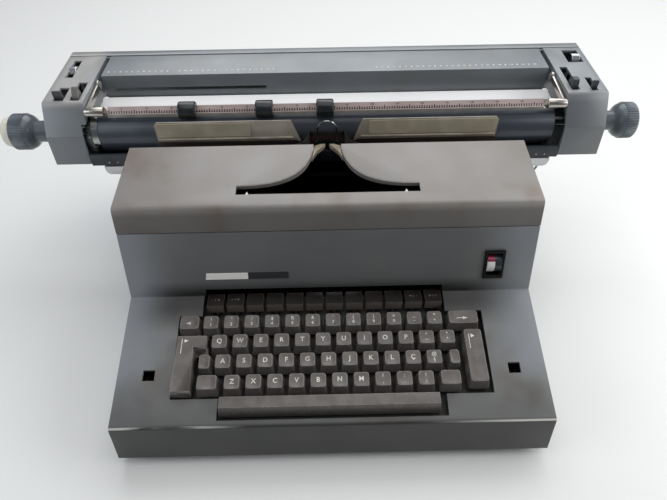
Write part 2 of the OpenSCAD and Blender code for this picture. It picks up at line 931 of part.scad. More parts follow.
module margin_key() {
    color("#4d4946") {
        key(margin_x, margin_y, margin_w, margin_l, margin_w + 3.2, margin_l + 3.2, false);
        z = key_z(-118.6);
        intersection() {
            along_y(-127, -109.8, [
                [-142, z - key_drop - 3], [-142, z - key_drop + 1], [-140.4, z + 4],
                [-115.4, z + 4], [-113.4, z - key_drop + 1], [-113.4, z - key_drop - 3]
            ]);
            along_x(-143, -112, [
                [-127, key_z(-127) - key_drop], [-124.8, key_z(-124.8)],
                [-112.4, key_z(-112.4)], [-109.8, key_z(-109.8) - key_drop]
            ]);
        }
    }
}

module backspace_key() {
    color("#4d4946")
        key(back_key[0], back_key[1], 18.4, w = 20.8);
}

module wide_right_key() {
    color("#4d4946")
        key(wide_key[0], wide_key[1], 27.5, w = 30.4, dish = false);
}

module shift_lock_key() {
    color("#4d4946")
        key(lock_key[0], lock_key[1], 10.4, w = 13);
}

module narrow_right_key() {
    color("#4d4946")
        key(narrow_key[0], narrow_key[1], 9.2, w = 12);
}

module shift_key_left() {
    color("#4d4946")
        key(shift_left[0], shift_left[1], 18.1, w = 20.6);
}

module shift_key_right() {
    color("#4d4946")
        key(shift_right[0], shift_right[1], 18.2, w = 20.6);
}

// Carriage
platen_half = bay_half - 9;
platen_y = 96.3;
platen_z = 155.8;
carriage_low = 134.7;
tray_z = 131.3;
tray_t = 2;
cover_split = 182.8;
end_outline = [
    [65.8, carriage_low, 0], [70.3, 165.9, 3], [89.1, carriage_top_z, 5],
    [cover_split, carriage_top_z, 0], [cover_split, carriage_low, 0]
];
frame_outline = [
    [65.8, carriage_low, 0], [70.3, 165.9, 3], [89.1, carriage_top_z, 5],
    [194, carriage_top_z, 5], [194, carriage_low, 0]
];
plate_x = carriage_half - 5.4;
bail_y = 85.8;
bail_z = 185;
bail_pivot_y = 132;
bail_pivot_z = 188;
bail_arm_x = bay_half - 3.7;
bail_arm_t = 2.4;
bail_pin_r = 2.5;
hinge_y = 180.3;
hinge_z = carriage_top_z - 2;
hinge_pin_r = 1.2;
lever_y = 106;
lever_z = 172;
lever_pin_r = 2.5;
feed_r = 6.5;
feed_y = platen_y + (platen_r + feed_r + gap) * cos(15);
feed_z = platen_z - (platen_r + feed_r + gap) * sin(15);
feed_shaft_r = 2.5;
bracket_x = bay_half - 7;
lid_half = bay_half - 5;
bail_half = bail_arm_x - 16;
bracket_t = 2.6;
runner_half = rail_half - carriage_travel;
window_w = 4.7;

module carriage_frame() {
    color("#3d4246")
        difference() {
            union() {
                block(-plate_x - 2.5, plate_x + 2.5, 70, 181, tray_z, tray_z + tray_t);
                // apron between the end covers
                block(-bay_half - window_w + gap, bay_half - gap, 66.3, 68.8, tray_z + 1.4, 145.5);
                block(-bay_half - window_w + gap, bay_half - gap, 66.3, 70.5, tray_z + 0.6,
                    tray_z + tray_t);
                both_sides() {
                    along_x(plate_x, plate_x + 2.5, rounded(inset(frame_outline, wall + 0.7)));
                    block(plate_x, plate_x + 2.5, 76, 178, tray_z, 142);
                    bar_x(plate_x - 6, plate_x + 1, platen_y, platen_z, shaft_r + 5);
                    // brackets for the feed rollers and the paper table
                    block(bracket_x, bracket_x + bracket_t, 119.5, 136, tray_z + 1, 161);
                    bar_x(plate_x - 30, plate_x + 1, lever_y, lever_z, lever_pin_r);
                }
                // runners in the rail grooves
                for (y = [rail_front_y + rail_w / 2, rail_back_y + rail_w / 2])
                    along_x(-runner_half, runner_half, [
                        [y - 2.6, tray_z + 0.5], [y, rail_top_z - 2.6], [y + 2.6, tray_z + 0.5]
                    ]);
                // escapement rack along the back
                block(-220, 220, 171, 174, tray_z + 1, 140);
            }
            both_sides() {
                bar_x(plate_x - 7, plate_x + 3, platen_y, platen_z, shaft_r + run);
                bar_x(bracket_x - 1, bracket_x + 4, feed_y, feed_z, feed_shaft_r + run);
            }
        }
}

// One end cover, drawn on the right, without its openings
module end_cover() {
    difference() {
        along_x(bay_half, carriage_half, rounded(end_outline));
        along_x(bay_half + 2, carriage_half - wall, concat(
            rounded(inset([for (p = end_outline) [p[0] > 150 ? cover_split + 10 : p[0], p[1], p[2]]],
                wall)), [[cover_split + 8, carriage_low - 1], [66.3 + wall, carriage_low - 1]]));
        // arch round the platen and the space behind it
        bar_x(bay_half - 1, bay_half + 3, platen_y, platen_z, platen_r + 2.4);
        block(bay_half - 1, bay_half + 3, platen_y, cover_split + 1, carriage_low - 1, 168);
        block(bay_half - 1, bay_half + 3, 72, platen_y + 1, carriage_low - 1, platen_z);
        bar_x(bay_half - 1, bay_half + 3, hinge_y, hinge_z, hinge_pin_r + run);
        bar_x(carriage_half - 5, carriage_half + 1, platen_y, platen_z, 11.5);
    }
    // pivot of the paper bail
    bar_x(bail_arm_x - 0.6, bay_half + 1, bail_pivot_y, bail_pivot_z, bail_pin_r);
    bar_x(bail_arm_x - 1, bail_arm_x - gap, bail_pivot_y, bail_pivot_z, bail_pin_r + 1.3);
}

module end_cover_left() {
    color("#60686f")
        difference() {
            mirror([1, 0, 0])
                end_cover();
            // window beside the ratchet wheel
            block(-bay_half - window_w, -bay_half + 1, 60, platen_y, carriage_low - 1, 176);
            block(-plate_x, -plate_x + 15.1, 92.5, 117, 185, 200);
            block(-plate_x + 16.1, -plate_x + 31, 92.5, 127, 185, 200);
            block(-plate_x - 0.5, -plate_x + 17.5, 137, 173, 185, 200);
        }
}

module end_cover_right() {
    color("#60686f")
        difference() {
            end_cover();
            block(plate_x - 30.1, plate_x - 21.9, 95, 140, 185, 200);
            block(plate_x - 10.2, plate_x, 93.5, 118, 185, 200);
            block(plate_x - 17, plate_x, 150, 176, 185, 200);
        }
}

module rear_cover() {
    outline = [
        [cover_split + 0.6, carriage_low, 0], [cover_split + 0.6, carriage_top_z, 0],
        [196.4, carriage_top_z, 5], [198, carriage_low, 0]
    ];
    color("#6a7076")
        difference() {
            along_x(-carriage_half, carriage_half, rounded(outline));
            along_x(-carriage_half + wall, carriage_half - wall, [
                [cover_split, carriage_low - 1], [cover_split, carriage_top_z - wall],
                [192, carriage_top_z - wall], [194, carriage_top_z - 5],
                [195.4, carriage_low - 1]
            ]);
        }
}

module paper_table() {
    color("#d4d5d4") {
        along_x(-bay_half + 4.2, bay_half - 4.2, [
            [121.6, 161.8], [123.2, 180], [124.8, 180], [123.2, 161.8]
        ]);
        along_x(-bracket_x + gap, bracket_x - gap, [
            [120.6, 156], [121.6, 162], [123.2, 162], [122.4, 156]
        ]);
        both_sides()
            block(bracket_x - 6, bracket_x - gap, 121.6, 133, 156.4, 158);
    }
}

module paper_lid() {
    color("#626a71") {
        difference() {
            union() {
                block(-lid_half, lid_half, 139, hinge_y, carriage_top_z - 2, carriage_top_z);
                block(-lid_half, lid_half, 139, 141, 168, carriage_top_z - 1);
                bar_x(-lid_half, lid_half, hinge_y, hinge_z, 2);
            }
            // long slot in the front wall
            block(-230, -65, 137, 143, 176, 180);
        }
        both_sides()
            bar_x(lid_half - 1, bay_half + 1.8, hinge_y, hinge_z, hinge_pin_r);
        // stiffening ribs under the lid
        for (x = [-160, 0, 160])
            block(x - 1, x + 1, 141, hinge_y, 186, carriage_top_z - 1);
    }
}

module platen() {
    color("#2a2f37")
        difference() {
            bar_x(-platen_half, platen_half, platen_y, platen_z, platen_r);
            bar_x(-platen_half - 1, platen_half + 1, platen_y, platen_z, shaft_r + run);
        }
}

module platen_shaft() {
    color("#a9abac")
        bar_x(-carriage_half - 48.6, carriage_half + 46.6, platen_y, platen_z, shaft_r);
}

module platen_ratchet() {
    teeth = 36;
    ring_x = -platen_half - 7;
    wheel_x = ring_x - 7.2;
    color("#b4b4b0")
        difference() {
            union() {
                bar_x(ring_x, -platen_half - gap, platen_y, platen_z, platen_r - 0.4);
                translate([wheel_x, platen_y, platen_z])
                    rotate([90, 0, 90])
                        linear_extrude(6)
                            polygon([
                                for (k = [0 : teeth - 1])
                                    each [
                                        (platen_r - 3) * [cos(360 * k / teeth), sin(360 * k / teeth)],
                                        (platen_r - 0.6) * [
                                            cos(360 * (k + 0.8) / teeth),
                                            sin(360 * (k + 0.8) / teeth)
                                        ]
                                    ]
                            ]);
                bar_x(wheel_x, ring_x + 1, platen_y, platen_z, 12);
            }
            bar_x(wheel_x - 1, ring_x + 8, platen_y, platen_z, shaft_r + run);
        }
}

// A ribbed turning knob with a long sleeve, drawn along +X from the cover
module knob(sleeve, cone, rim) {
    ribs = 40;
    difference() {
        union() {
            rotate_extrude()
                polygon([
                    [0, 0.6], [10.2, 0.6], [10.2, sleeve], [13, sleeve + 1.2],
                    [knob_r - 1.5, sleeve + cone], [knob_r - 1.5, sleeve + cone + 1], [0, sleeve + cone + 1]
                ]);
            translate([0, 0, sleeve + cone])
                linear_extrude(rim)
                    polygon([
                        for (k = [0 : ribs - 1], s = [0, 1])
                            (knob_r - s * 0.9) * [
                                cos(360 * (k + s / 2) / ribs), sin(360 * (k + s / 2) / ribs)
                            ]
                    ]);
        }
        translate([0, 0, -1])
            cylinder(h = sleeve + cone + rim + 5, r = shaft_r + run);
        translate([0, 0, sleeve + cone + rim - 1.5])
            difference() {
                cylinder(h = 3, r = knob_r - 3);
                cylinder(h = 3, r = 9);
            }
    }
}

module knob_left() {
    color("#4a5157")
        translate([-carriage_half, platen_y, platen_z])
            rotate([0, -90, 0])
                knob(21, 12, 20);
}

module knob_cap() {
    color("#dcd8c8")
        translate([-carriage_half - 53.3, platen_y, platen_z])
            rotate([0, -90, 0])
                difference() {
                    rotate_extrude()
                        polygon([[0, 0], [16, 0], [16, 6], [14, 8.4], [0, 9.4]]);
                    translate([0, 0, -1])
                        cylinder(h = 4, r = shaft_r + run);
                }
}

module knob_right() {
    color("#3f444a")
        translate([carriage_half, platen_y, platen_z])
            rotate([0, 90, 0])
                knob(14.6, 16, 17.5);
}

module feed_rollers() {
    color("#2b2a2a") {
        bar_x(-bracket_x - 2, bracket_x + 2, feed_y, feed_z, feed_shaft_r);
        for (x = [-190, -90, 10, 110])
            bar_x(x, x + 80, feed_y, feed_z, feed_r);
    }
}

module bail_arms() {
    color("#c8c2b6")
        both_sides()
            difference() {
                union() {
                    bar_x(bail_arm_x, bail_arm_x + bail_arm_t, bail_pivot_y, bail_pivot_z, 5);
                    along_x(bail_arm_x, bail_arm_x + bail_arm_t, [
                        [bail_y, bail_z - 3.4], [bail_y, bail_z + 3.4],
                        [bail_pivot_y, bail_pivot_z + 3], [bail_pivot_y, bail_pivot_z - 3]
                    ]);
                    bar_x(bail_half + gap, bail_arm_x + bail_arm_t, bail_y, bail_z, 5);
                    bar_x(bail_arm_x + bail_arm_t - 0.1, bay_half - gap, bail_y, bail_z, 4);
                }
                bar_x(bail_arm_x - 1, bail_arm_x + bail_arm_t + 1, bail_pivot_y, bail_pivot_z,
                    bail_pin_r + run);
            }
}

module bail_bar() {
    color("#b7a9a6")
        translate([0, bail_y, bail_z])
            rotate([-38, 0, 0]) {
                block(-bail_half, bail_half, -0.8, 0.8, -4.3, 4.3);
                bar_x(-bail_half, bail_half, 0.6, -1.5, 1.6);
            }
}

module bail_rollers() {
    color("#1f2326")
        for (x = [-141, -63, -1.4])
            translate([x - 8.8, bail_y, bail_z])
                rotate([0, 90, 0])
                    rotate_extrude()
                        polygon([
                            [4.5, 0], [bail_roller_r - 1, 0], [bail_roller_r, 1],
                            [bail_roller_r, 16.6], [bail_roller_r - 1, 17.6], [4.5, 17.6]
                        ]);
}

// A lever on its pin, with a finger tab that stands above the top plane
module lever(x0, x1, tab) {
    difference() {
        union() {
            bar_x(x0, x1, lever_y, lever_z, 6);
            along_x(x0, x1, concat([[lever_y - 4, lever_z], [lever_y - 3, 190]], tab,
                [[lever_y + 3, 190], [lever_y + 4, lever_z]]));
        }
        bar_x(x0 - 1, x1 + 1, lever_y, lever_z, lever_pin_r + run);
    }
}

module line_space_lever() {
    color("#2e3436")
        lever(-plate_x + 1, -plate_x + 14, [[96, 194], [95.5, 202], [107.5, 202], [109, 194]]);
}

module release_lever_left() {
    color("#6d706c")
        lever(-plate_x + 17.1, -plate_x + 29.8, [[96.5, 195], [97, 200], [110, 205], [115, 197]]);
}

module paper_release_lever() {
    color("#1c1e20")
        lever(plate_x - 29.3, plate_x - 22.7, [[99.5, 194], [100, 203], [113, 201], [115, 195]]);
}

module release_lever_right() {
    color("#1c1e20")
        lever(plate_x - 9.1, plate_x - 1, [[97, 194], [97.5, 202], [109, 202], [111, 194]]);
}

module margin_buttons() {
    color("#b8bac0")
        for (s = [[-plate_x + 0.4, -plate_x + 16.6, 155], [plate_x - 16, plate_x - 1, 163]]) {
            bar_x(s[0], s[1], s[2], 190, 7);
            block(s[0] + 3, s[0] + 11, s[2] - 4, s[2] + 4, tray_z + tray_t, 190);
        }
}

base_pan();
side_frames();
body_shell();
rubber_feet();
keyboard_plate();
power_inlet();
drive_motor();
drive_belt();
power_roller();
type_segment();
typebars();
middle_typebar();
type_guide();
card_guides();
ribbon_vibrator();
ribbon_spool_left();
ribbon_spool_right();
ink_ribbon();
carriage_rail();
carriage_lead();
mainspring_drum();
switch_bezel();
switch_rocker();
top_cover();
number_keys();
upper_letter_keys();
home_letter_keys();
middle_letter_key();
lower_letter_keys();
tabulator_keys();
space_bar();
return_key();
margin_key();
backspace_key();
wide_right_key();
shift_lock_key();
narrow_right_key();
shift_key_left();
shift_key_right();
carriage_frame();
end_cover_left();
end_cover_right();
rear_cover();
paper_table();
paper_lid();
platen();
platen_shaft();
platen_ratchet();
knob_left();
knob_cap();
knob_right();
feed_rollers();
bail_arms();
bail_bar();
bail_rollers();
line_space_lever();
release_lever_left();
paper_release_lever();
release_lever_right();
margin_buttons();
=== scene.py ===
import math

import bmesh
import bpy
from mathutils import Matrix, Vector


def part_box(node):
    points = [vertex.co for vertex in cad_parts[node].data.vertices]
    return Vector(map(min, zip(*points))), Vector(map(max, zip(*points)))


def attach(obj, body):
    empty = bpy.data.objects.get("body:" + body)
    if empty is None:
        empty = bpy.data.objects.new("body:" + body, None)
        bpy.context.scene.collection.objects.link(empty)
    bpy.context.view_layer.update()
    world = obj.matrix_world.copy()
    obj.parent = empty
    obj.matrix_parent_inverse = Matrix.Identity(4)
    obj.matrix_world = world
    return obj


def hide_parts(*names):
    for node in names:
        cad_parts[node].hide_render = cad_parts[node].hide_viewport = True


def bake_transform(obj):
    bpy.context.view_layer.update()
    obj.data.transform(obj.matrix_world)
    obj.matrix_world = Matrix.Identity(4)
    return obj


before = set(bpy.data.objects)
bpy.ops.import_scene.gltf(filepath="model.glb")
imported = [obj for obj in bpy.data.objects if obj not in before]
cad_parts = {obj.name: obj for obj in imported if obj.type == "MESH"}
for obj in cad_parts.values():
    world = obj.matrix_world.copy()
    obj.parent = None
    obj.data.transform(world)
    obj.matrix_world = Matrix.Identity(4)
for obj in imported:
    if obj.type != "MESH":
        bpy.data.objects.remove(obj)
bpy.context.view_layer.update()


# The room. A plain pale table top under soft daylight that comes from above and behind the
# carriage, with a weaker fill in front.
def srgb(code):
    """The linear colour of an sRGB hex code."""
    parts = [int(code[i:i + 2], 16) / 255 for i in (1, 3, 5)]
    return [c / 12.92 if c <= 0.04045 else ((c + 0.055) / 1.055) ** 2.4 for c in parts] + [1]


def add(tree, kind, inputs=None, **settings):
    """A shader node with its settings, and its sockets set or linked."""
    new = tree.nodes.new("ShaderNode" + kind)
    for name, value in settings.items():
        setattr(new, name, value)
    for socket, value in (inputs or {}).items():
        if isinstance(value, bpy.types.NodeSocket):
            tree.links.new(value, new.inputs[socket])
        else:
            new.inputs[socket].default_value = value
    return new


def in_scene(name, data):
    """A new object in the scene."""
    thing = bpy.data.objects.new(name, data)
    bpy.context.scene.collection.objects.link(thing)
    return thing


scene = bpy.context.scene
scene.view_settings.view_transform = "Standard"

table_colour = "#e9e9e6"
scene.world = bpy.data.worlds.new("pale_room")
scene.world.use_nodes = True
air = scene.world.node_tree
air.nodes.clear()
rays = add(air, "LightPath")
room = add(air, "Background", {"Color": srgb("#e6eaef"), "Strength": 0.14})
seen = add(air, "Background", {"Color": srgb(table_colour), "Strength": 0.95})
choice = add(air, "MixShader", {
    0: rays.outputs["Is Camera Ray"], 1: room.outputs[0], 2: seen.outputs[0]})
add(air, "OutputWorld", {"Surface": choice.outputs[0]})

# Each soft lamp: its place, its two sides in metres, its power in watts and its colour.
lit_place = Vector((0, 0, 0.1))
for name, place, sides, power, colour in (
        ("window_behind", (0.1, 1.35, 1.5), (2.2, 1.3), 29, "#f4f6fa"),
        ("ceiling", (0.0, -0.05, 1.8), (1.6, 1.4), 9, "#fbfaf7"),
        ("room_left", (-1.1, -0.3, 0.6), (0.8, 0.8), 5, "#e9effb"),
        ("room_right", (1.1, -0.2, 0.6), (0.8, 0.8), 6.5, "#f2f5f8"),
        ("window_right", (1.5, 0.7, 1.1), (1.0, 1.0), 9, "#fbfcfc")):
    lamp = bpy.data.lights.new(name, "AREA")
    lamp.shape = "RECTANGLE"
    lamp.size, lamp.size_y = sides
    lamp.energy = power
    lamp.color = srgb(colour)[:3]
    holder = in_scene(name, lamp)
    holder.location = place
    holder.rotation_mode = "QUATERNION"
    holder.rotation_quaternion = (lit_place - Vector(place)).to_track_quat("-Z", "Y")

floor_half = 4
floor_mesh = bpy.data.meshes.new("table_top")
floor_mesh.from_pydata([(x * floor_half, y * floor_half, 0) for x, y in (
    (-1, -1), (1, -1), (1, 1), (-1, 1))], [], [(0, 1, 2, 3)])
laminate = bpy.data.materials.new("pale_laminate")
laminate.use_nodes = True
laminate_shader = laminate.node_tree.nodes["Principled BSDF"]
laminate_shader.inputs["Base Color"].default_value = srgb(table_colour)
laminate_shader.inputs["Roughness"].default_value = 0.35
floor_mesh.materials.append(laminate)
in_scene("table_top", floor_mesh)


# The camera was solved from the photograph's key pitch and body edges. Its small turn and
# roll are kept, because the object stands a little askew in the frame.
camera_down = math.radians(47.95)
camera_turn = 0.010
camera_roll = -0.0136
photo_width = 667
focal_pixels = 534.8
eye = Vector((0.0005, -0.3862, 0.4919))
forward = Vector((math.sin(camera_turn) * math.cos(camera_down),
                  math.cos(camera_turn) * math.cos(camera_down), -math.sin(camera_down)))
level = Vector((math.cos(camera_turn), -math.sin(camera_turn), 0))
upward = level.cross(forward)
right = math.cos(camera_roll) * level + math.sin(camera_roll) * upward
up = math.cos(camera_roll) * upward - math.sin(camera_roll) * level
lens = bpy.data.cameras.new("camera")
lens.sensor_width = 36
lens.lens = focal_pixels * lens.sensor_width / photo_width
lens.clip_start = 0.01
camera = in_scene("camera", lens)
turn = Matrix((right, up, -forward)).transposed().to_4x4()
camera.matrix_world = Matrix.Translation(eye) @ turn
scene.camera = camera


# The housing: deck, upright face and hood in one pressing of 2.5 mm sheet, spray-painted
# in a satin grey enamel. Years of hands have browned it, and rubbed its edges pale.
def new_material(name):
    """An empty material, its node tree and the place of each point in real millimetres."""
    material = bpy.data.materials.new(name)
    material.use_nodes = True
    tree = material.node_tree
    tree.nodes.clear()
    place = add(tree, "TexCoord")
    in_mm = add(tree, "VectorMath", {0: place.outputs["Object"], 1: (1000, 1000, 1000)},
                operation="MULTIPLY")
    return material, tree, in_mm.outputs[0]


def patches(tree, place, size_mm, low, high, detail=3):
    """A noise of patches about size_mm wide, spread from 0 to 1 between low and high."""
    cloud = add(tree, "TexNoise", {"Vector": place, "Scale": 1 / size_mm, "Detail": detail})
    return add(tree, "MapRange", {
        "Value": cloud.outputs["Fac"], "From Min": low, "From Max": high},
        interpolation_type="SMOOTHSTEP").outputs[0]


def layered(tree, colour, *films):
    """A colour under films of others, each film given as its share and its colour."""
    for share, film in films:
        under, over = [srgb(c) if isinstance(c, str) else c for c in (colour, film)]
        colour = add(tree, "Mix", {0: share, 6: under, 7: over}, data_type="RGBA").outputs[2]
    return colour


def product(tree, total, *shares):
    """Shares multiplied together."""
    for share in shares:
        total = add(tree, "Math", {0: total, 1: share}, operation="MULTIPLY").outputs[0]
    return total


def worn_edges(tree, width_mm):
    """1 along edges that stand proud within width_mm, and 0 on flats."""
    softened = add(tree, "Bevel", {"Radius": width_mm / 1000}, samples=4)
    shape = add(tree, "NewGeometry")
    match = add(tree, "VectorMath", {0: softened.outputs[0], 1: shape.outputs["Normal"]},
                operation="DOT_PRODUCT")
    return add(tree, "MapRange", {
        "Value": match.outputs["Value"], "From Min": 0.99, "From Max": 0.90}).outputs[0]


def finish_surface(material, tree, colour, roughness, relief=None, depth_mm=0.0, **sockets):
    """Ends a material in one principled shader. The relief is a socket, or a grain given as
    its place, its size in millimetres and its detail."""
    inputs = {"Base Color": colour, "Roughness": roughness}
    if isinstance(relief, tuple):
        place, grain_mm, detail = relief
        relief = add(tree, "TexNoise", {"Vector": place, "Scale": 1 / grain_mm,
                                        "Detail": detail}).outputs["Fac"]
    if relief:
        bump = add(tree, "Bump", {"Height": relief, "Distance": depth_mm / 1000, "Strength": 1})
        inputs["Normal"] = bump.outputs[0]
    inputs.update({name.replace("_", " "): value for name, value in sockets.items()})
    shader = add(tree, "BsdfPrincipled", inputs)
    add(tree, "OutputMaterial", {"Surface": shader.outputs[0]})
    return material


def zone(tree, place, *options):
    """The greatest of options, each a product of numbers and of ramps: axis, 0 at, 1 at."""
    split = add(tree, "SeparateXYZ", {0: place})
    greatest = None
    for option in options:
        share = product(tree, *[part if isinstance(part, float) else add(tree, "MapRange", {
            "Value": split.outputs[part[0]], "From Min": part[1], "From Max": part[2]},
            interpolation_type="SMOOTHSTEP").outputs[0] for part in option])
        greatest = share if greatest is None else add(
            tree, "Math", {0: greatest, 1: share}, operation="MAXIMUM").outputs[0]
    return greatest


def inside(tree, place, low, high):
    """1 inside a box given by two corners in millimetres, and 0 outside."""
    split = add(tree, "SeparateXYZ", {0: place})
    return product(tree, *[add(tree, "Math", {
        0: split.outputs[axis], 1: (low[axis] + high[axis]) / 2,
        2: (high[axis] - low[axis]) / 2}, operation="COMPARE").outputs[0] for axis in range(3)])


def facing(tree, axes, sign):
    """The product of two parts of a surface's direction, such as "YZ", and of a sign."""
    shape = add(tree, "NewGeometry")
    split = add(tree, "SeparateXYZ", {0: shape.outputs["Normal"]})
    return product(tree, *[split.outputs[axis] for axis in axes], sign)


def enamel(name, colour, faded, stain, worn, stain_zone=None, painted_shade_box=None, rubbed=None,
           films=(), **sockets):
    """Sprayed stove enamel: an even satin coat with a fine orange peel of 0.6 mm."""
    material, tree, place = new_material(name)
    dirt = patches(tree, place, 34, 0.42, 0.95, detail=2)
    if stain_zone:
        dirt = product(tree, dirt, zone(tree, place, *stain_zone))
    chips = product(tree, worn_edges(tree, 1.2), patches(tree, place, 7, 0.5, 0.72), 0.45)
    tone = layered(tree, colour, (patches(tree, place, 90, 0.3, 0.7), faded), (dirt, stain),
                   (chips, worn), *[(zone(tree, place, *options), film)
                                    for film, *options in films])
    if rubbed:
        ends, edge_box = rubbed
        drawn_out = add(tree, "VectorMath", {0: place, 1: (0.12, 1, 1)}, operation="MULTIPLY")
        streaks = patches(tree, drawn_out.outputs[0], 6, 0.36, 0.62)
        corner = add(tree, "MapRange", {
            "Value": facing(tree, "YZ", -1), "From Min": 0.38, "From Max": 0.48}).outputs[0]
        tone = layered(tree, tone, (product(tree, streaks, zone(tree, place, *ends),
                                            inside(tree, place, *edge_box), corner), "#dcdbd4"))
    # Painted shade: a box inside the sheet is painted near black.
    if painted_shade_box:
        tone = layered(tree, tone, (inside(tree, place, *painted_shade_box), "#0c0b0a"))
    shine = add(tree, "MapRange", {
        "Value": patches(tree, place, 30, 0.3, 0.7), "To Min": 0.34, "To Max": 0.44})
    return finish_surface(material, tree, tone, shine.outputs[0], (place, 0.6, 1), 0.02,
                          **sockets)


def rounded(piece, radius_mm, segments=3, degrees=30):
    """Rounds a piece's sharp edges, and returns the modifier that does it."""
    bevel = piece.modifiers.new("rounded_edges", "BEVEL")
    bevel.width = radius_mm / 1000
    bevel.segments = segments
    bevel.limit_method = "ANGLE"
    bevel.angle_limit = math.radians(degrees)
    bevel.harden_normals = True
    for face in piece.data.polygons:
        face.use_smooth = True
    return bevel


def dress(nodes, material, edge_mm=0.0):
    """Gives CAD nodes, named in one string, their finish, and rounds their sharp edges."""
    for node in nodes.split():
        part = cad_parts[node]
        part.data.materials.clear()
        part.data.materials.append(material)
        if edge_mm:
            weld = part.modifiers.new("weld", "WELD")
            weld.merge_threshold = 0.00001
            rounded(part, edge_mm)


# Hands have stained the deck brown round the keys. The lip is painted darker as shade, and the
# deck behind it darker towards the front, at half as much. The ends, which face the windows, have
# bleached. The corner under the upright face is painted dark as shade, most of all at the keys.
deck_stains = [(("Y", -60, -120), ("Z", 44, 52))]
front_painted_shade = [(("Z", 53, 49), ("Y", -184, -188), 0.88), (("Y", -135, -190), 0.44)]
bleached_ends = [(("X", 128, 188), ("Y", -180, -125), 0.7),
                 (("X", -140, -188), ("Y", -180, -125), 0.7)]
under_face = ("Y", -108, -78), ("Y", -30, -50), ("X", -190, -145), ("X", 190, 130), 0.92
# Painted shade: the corner under the upright face is darkest low down, and the deck before it a
# little darker.
corner_painted_shade = [(("Z", 100, 78), *under_face), (0.24, *under_face)]
# The deck's front edge has worn pale towards its ends, and the inside under the hood is painted
# near black as shade.
worn_front = [(("X", -62, -140),), (("X", 70, 190),)], ((-194, -193, 45), (194, -186.5, 52))
hood_inside_painted_shade = (-95, -38, 100), (95, 79, 141.5)
dress("body_shell", enamel(
    "satin_grey_enamel", "#6b6d6d", "#757674", "#56493c", "#a9aaa5", deck_stains, hood_inside_painted_shade,
    worn_front, (("#8b8f94", *bleached_ends), ("#2b2a27", *front_painted_shade),
                 ("#0f0e0d", *corner_painted_shade))), 1.1)


# The top cover lifts off the housing over the typebars. It is the same enamelled sheet,
# paler from years under a window, with brown stains at its front edge and left end, where
# it is taken hold of. Painted shade darkens the skirt below its front edge, and its inside.
cover_enamel = enamel("sun_faded_enamel", "#837d77", "#8b8783", "#705d4c", "#bdb9b2",
                      [(("Y", 0, -36),), (("X", -60, -190),)],
                      ((-188, -30, 143), (188, 41, 164.6)),
                      films=(("#4c4946", (("Z", 165, 158), ("Y", -24, -34), 0.62)),))
dress("top_cover", cover_enamel, 1.4)


# The base: a black enamelled pan on four moulded rubber feet, with pressed side frames of
# zinc-plated steel above it. None of it is meant to be seen, so it stays plain and dark.
def plated(name, colour, dusty, roughness=0.45, metallic=0.8):
    """Plated, lacquered or blackened metal, dulled by oil and dust in 12 mm patches."""
    material, tree, place = new_material(name)
    tone = layered(tree, colour, (patches(tree, place, 12, 0.35, 0.7), dusty))
    return finish_surface(material, tree, tone, roughness, (place, 1 / 1.2, 2), 0.01,
                          Metallic=metallic)


dress("base_pan", plated("black_stove_enamel", "#303232", "#3c3d3b", 0.5, 0.0), 0.6)
dress("side_frames", plated("zinc_plated_steel", "#6a6c6e", "#7f7f7c"))
dress("drive_motor", plated("grey_lacquered_steel", "#7d7f80", "#8f8d87", 0.5, 0.2), 0.5)
dress("mainspring_drum", plated("pressed_drum_steel", "#77797b", "#8b8a86", 0.4), 0.5)


def rubber(name, colour, dusty, roughness=0.62, dust_mm=9):
    """Rubber compound or felt: nearly matt, with grey bloom where dust has settled."""
    material, tree, place = new_material(name)
    tone = layered(tree, colour, (patches(tree, place, dust_mm, 0.4, 0.8, detail=5), dusty))
    return finish_surface(material, tree, tone, roughness, (place, 0.4, 1), 0.015)


black_rubber = rubber("moulded_black_rubber", "#191919", "#2b2a28")
dress("rubber_feet", black_rubber, 1.0)
dress("drive_belt", rubber("belt_rubber", "#24221f", "#34302b"))
dress("power_roller", rubber("ribbed_roller_rubber", "#232120", "#3a3530", 0.55), 0.3)


# The keyboard plate that guides the key stems is lacquered black, so that only the keys
# show, and the mains socket in the rear wall is moulded in black plastic.
def moulded(name, colour, worn, roughness=0.42, patch_mm=14, **sockets):
    """Injection-moulded plastic: even colour, faint flow patches and a 0.35 mm spark grain."""
    material, tree, place = new_material(name)
    tone = layered(tree, colour, (patches(tree, place, patch_mm, 0.35, 0.7), worn))
    return finish_surface(material, tree, tone, roughness, (place, 0.35, 1), 0.012, **sockets)


dress("keyboard_plate", plated("black_lacquered_plate", "#1d1d1e", "#2b2926", 0.55, 0.0))
dress("power_inlet", moulded("black_moulded_plastic", "#141414", "#1f1f1e"), 0.4)


# The type basket: a cast segment, slotted and ground, in which 43 steel typebars hang. Oil
# and ribbon ink have darkened all of it but the tips.
dress("type_segment", plated("oil_blackened_cast_iron", "#161412", "#2a2724", 0.5, 0.6), 0.2)
dress("typebars middle_typebar", plated("oiled_typebar_steel", "#1d1b1a", "#3a3734", 0.42))


# The type guide is a casting of nickelled brass, creamy where the type slugs wipe it, and
# brown under the card guides. Before it stand the wire fork that lifts the ribbon and, at
# the sides, the two moulded spools.
def nickelled_brass():
    """Nickel worn down to a warm satin, with spots of ink about 4 mm wide."""
    material, tree, place = new_material("nickelled_brass")
    wiped = layered(tree, "#f3e3c8", (patches(tree, place, 4, 0.55, 0.8, detail=5), "#8f7757"))
    tone = layered(tree, "#2e2723", (inside(tree, place, (-26, 40, 140), (26, 75, 155)), wiped))
    return finish_surface(material, tree, tone, 0.36, (place, 1 / 1.5, 2), 0.01, Metallic=0.2)


dress("type_guide", nickelled_brass(), 0.15)
dress("ribbon_vibrator", plated("bright_chromed_wire", "#b9bbbd", "#d9dadb", 0.16, 1.0))
dress("ribbon_spool_left ribbon_spool_right",
      moulded("black_spool_plastic", "#211d1b", "#2c2724"), 0.3)


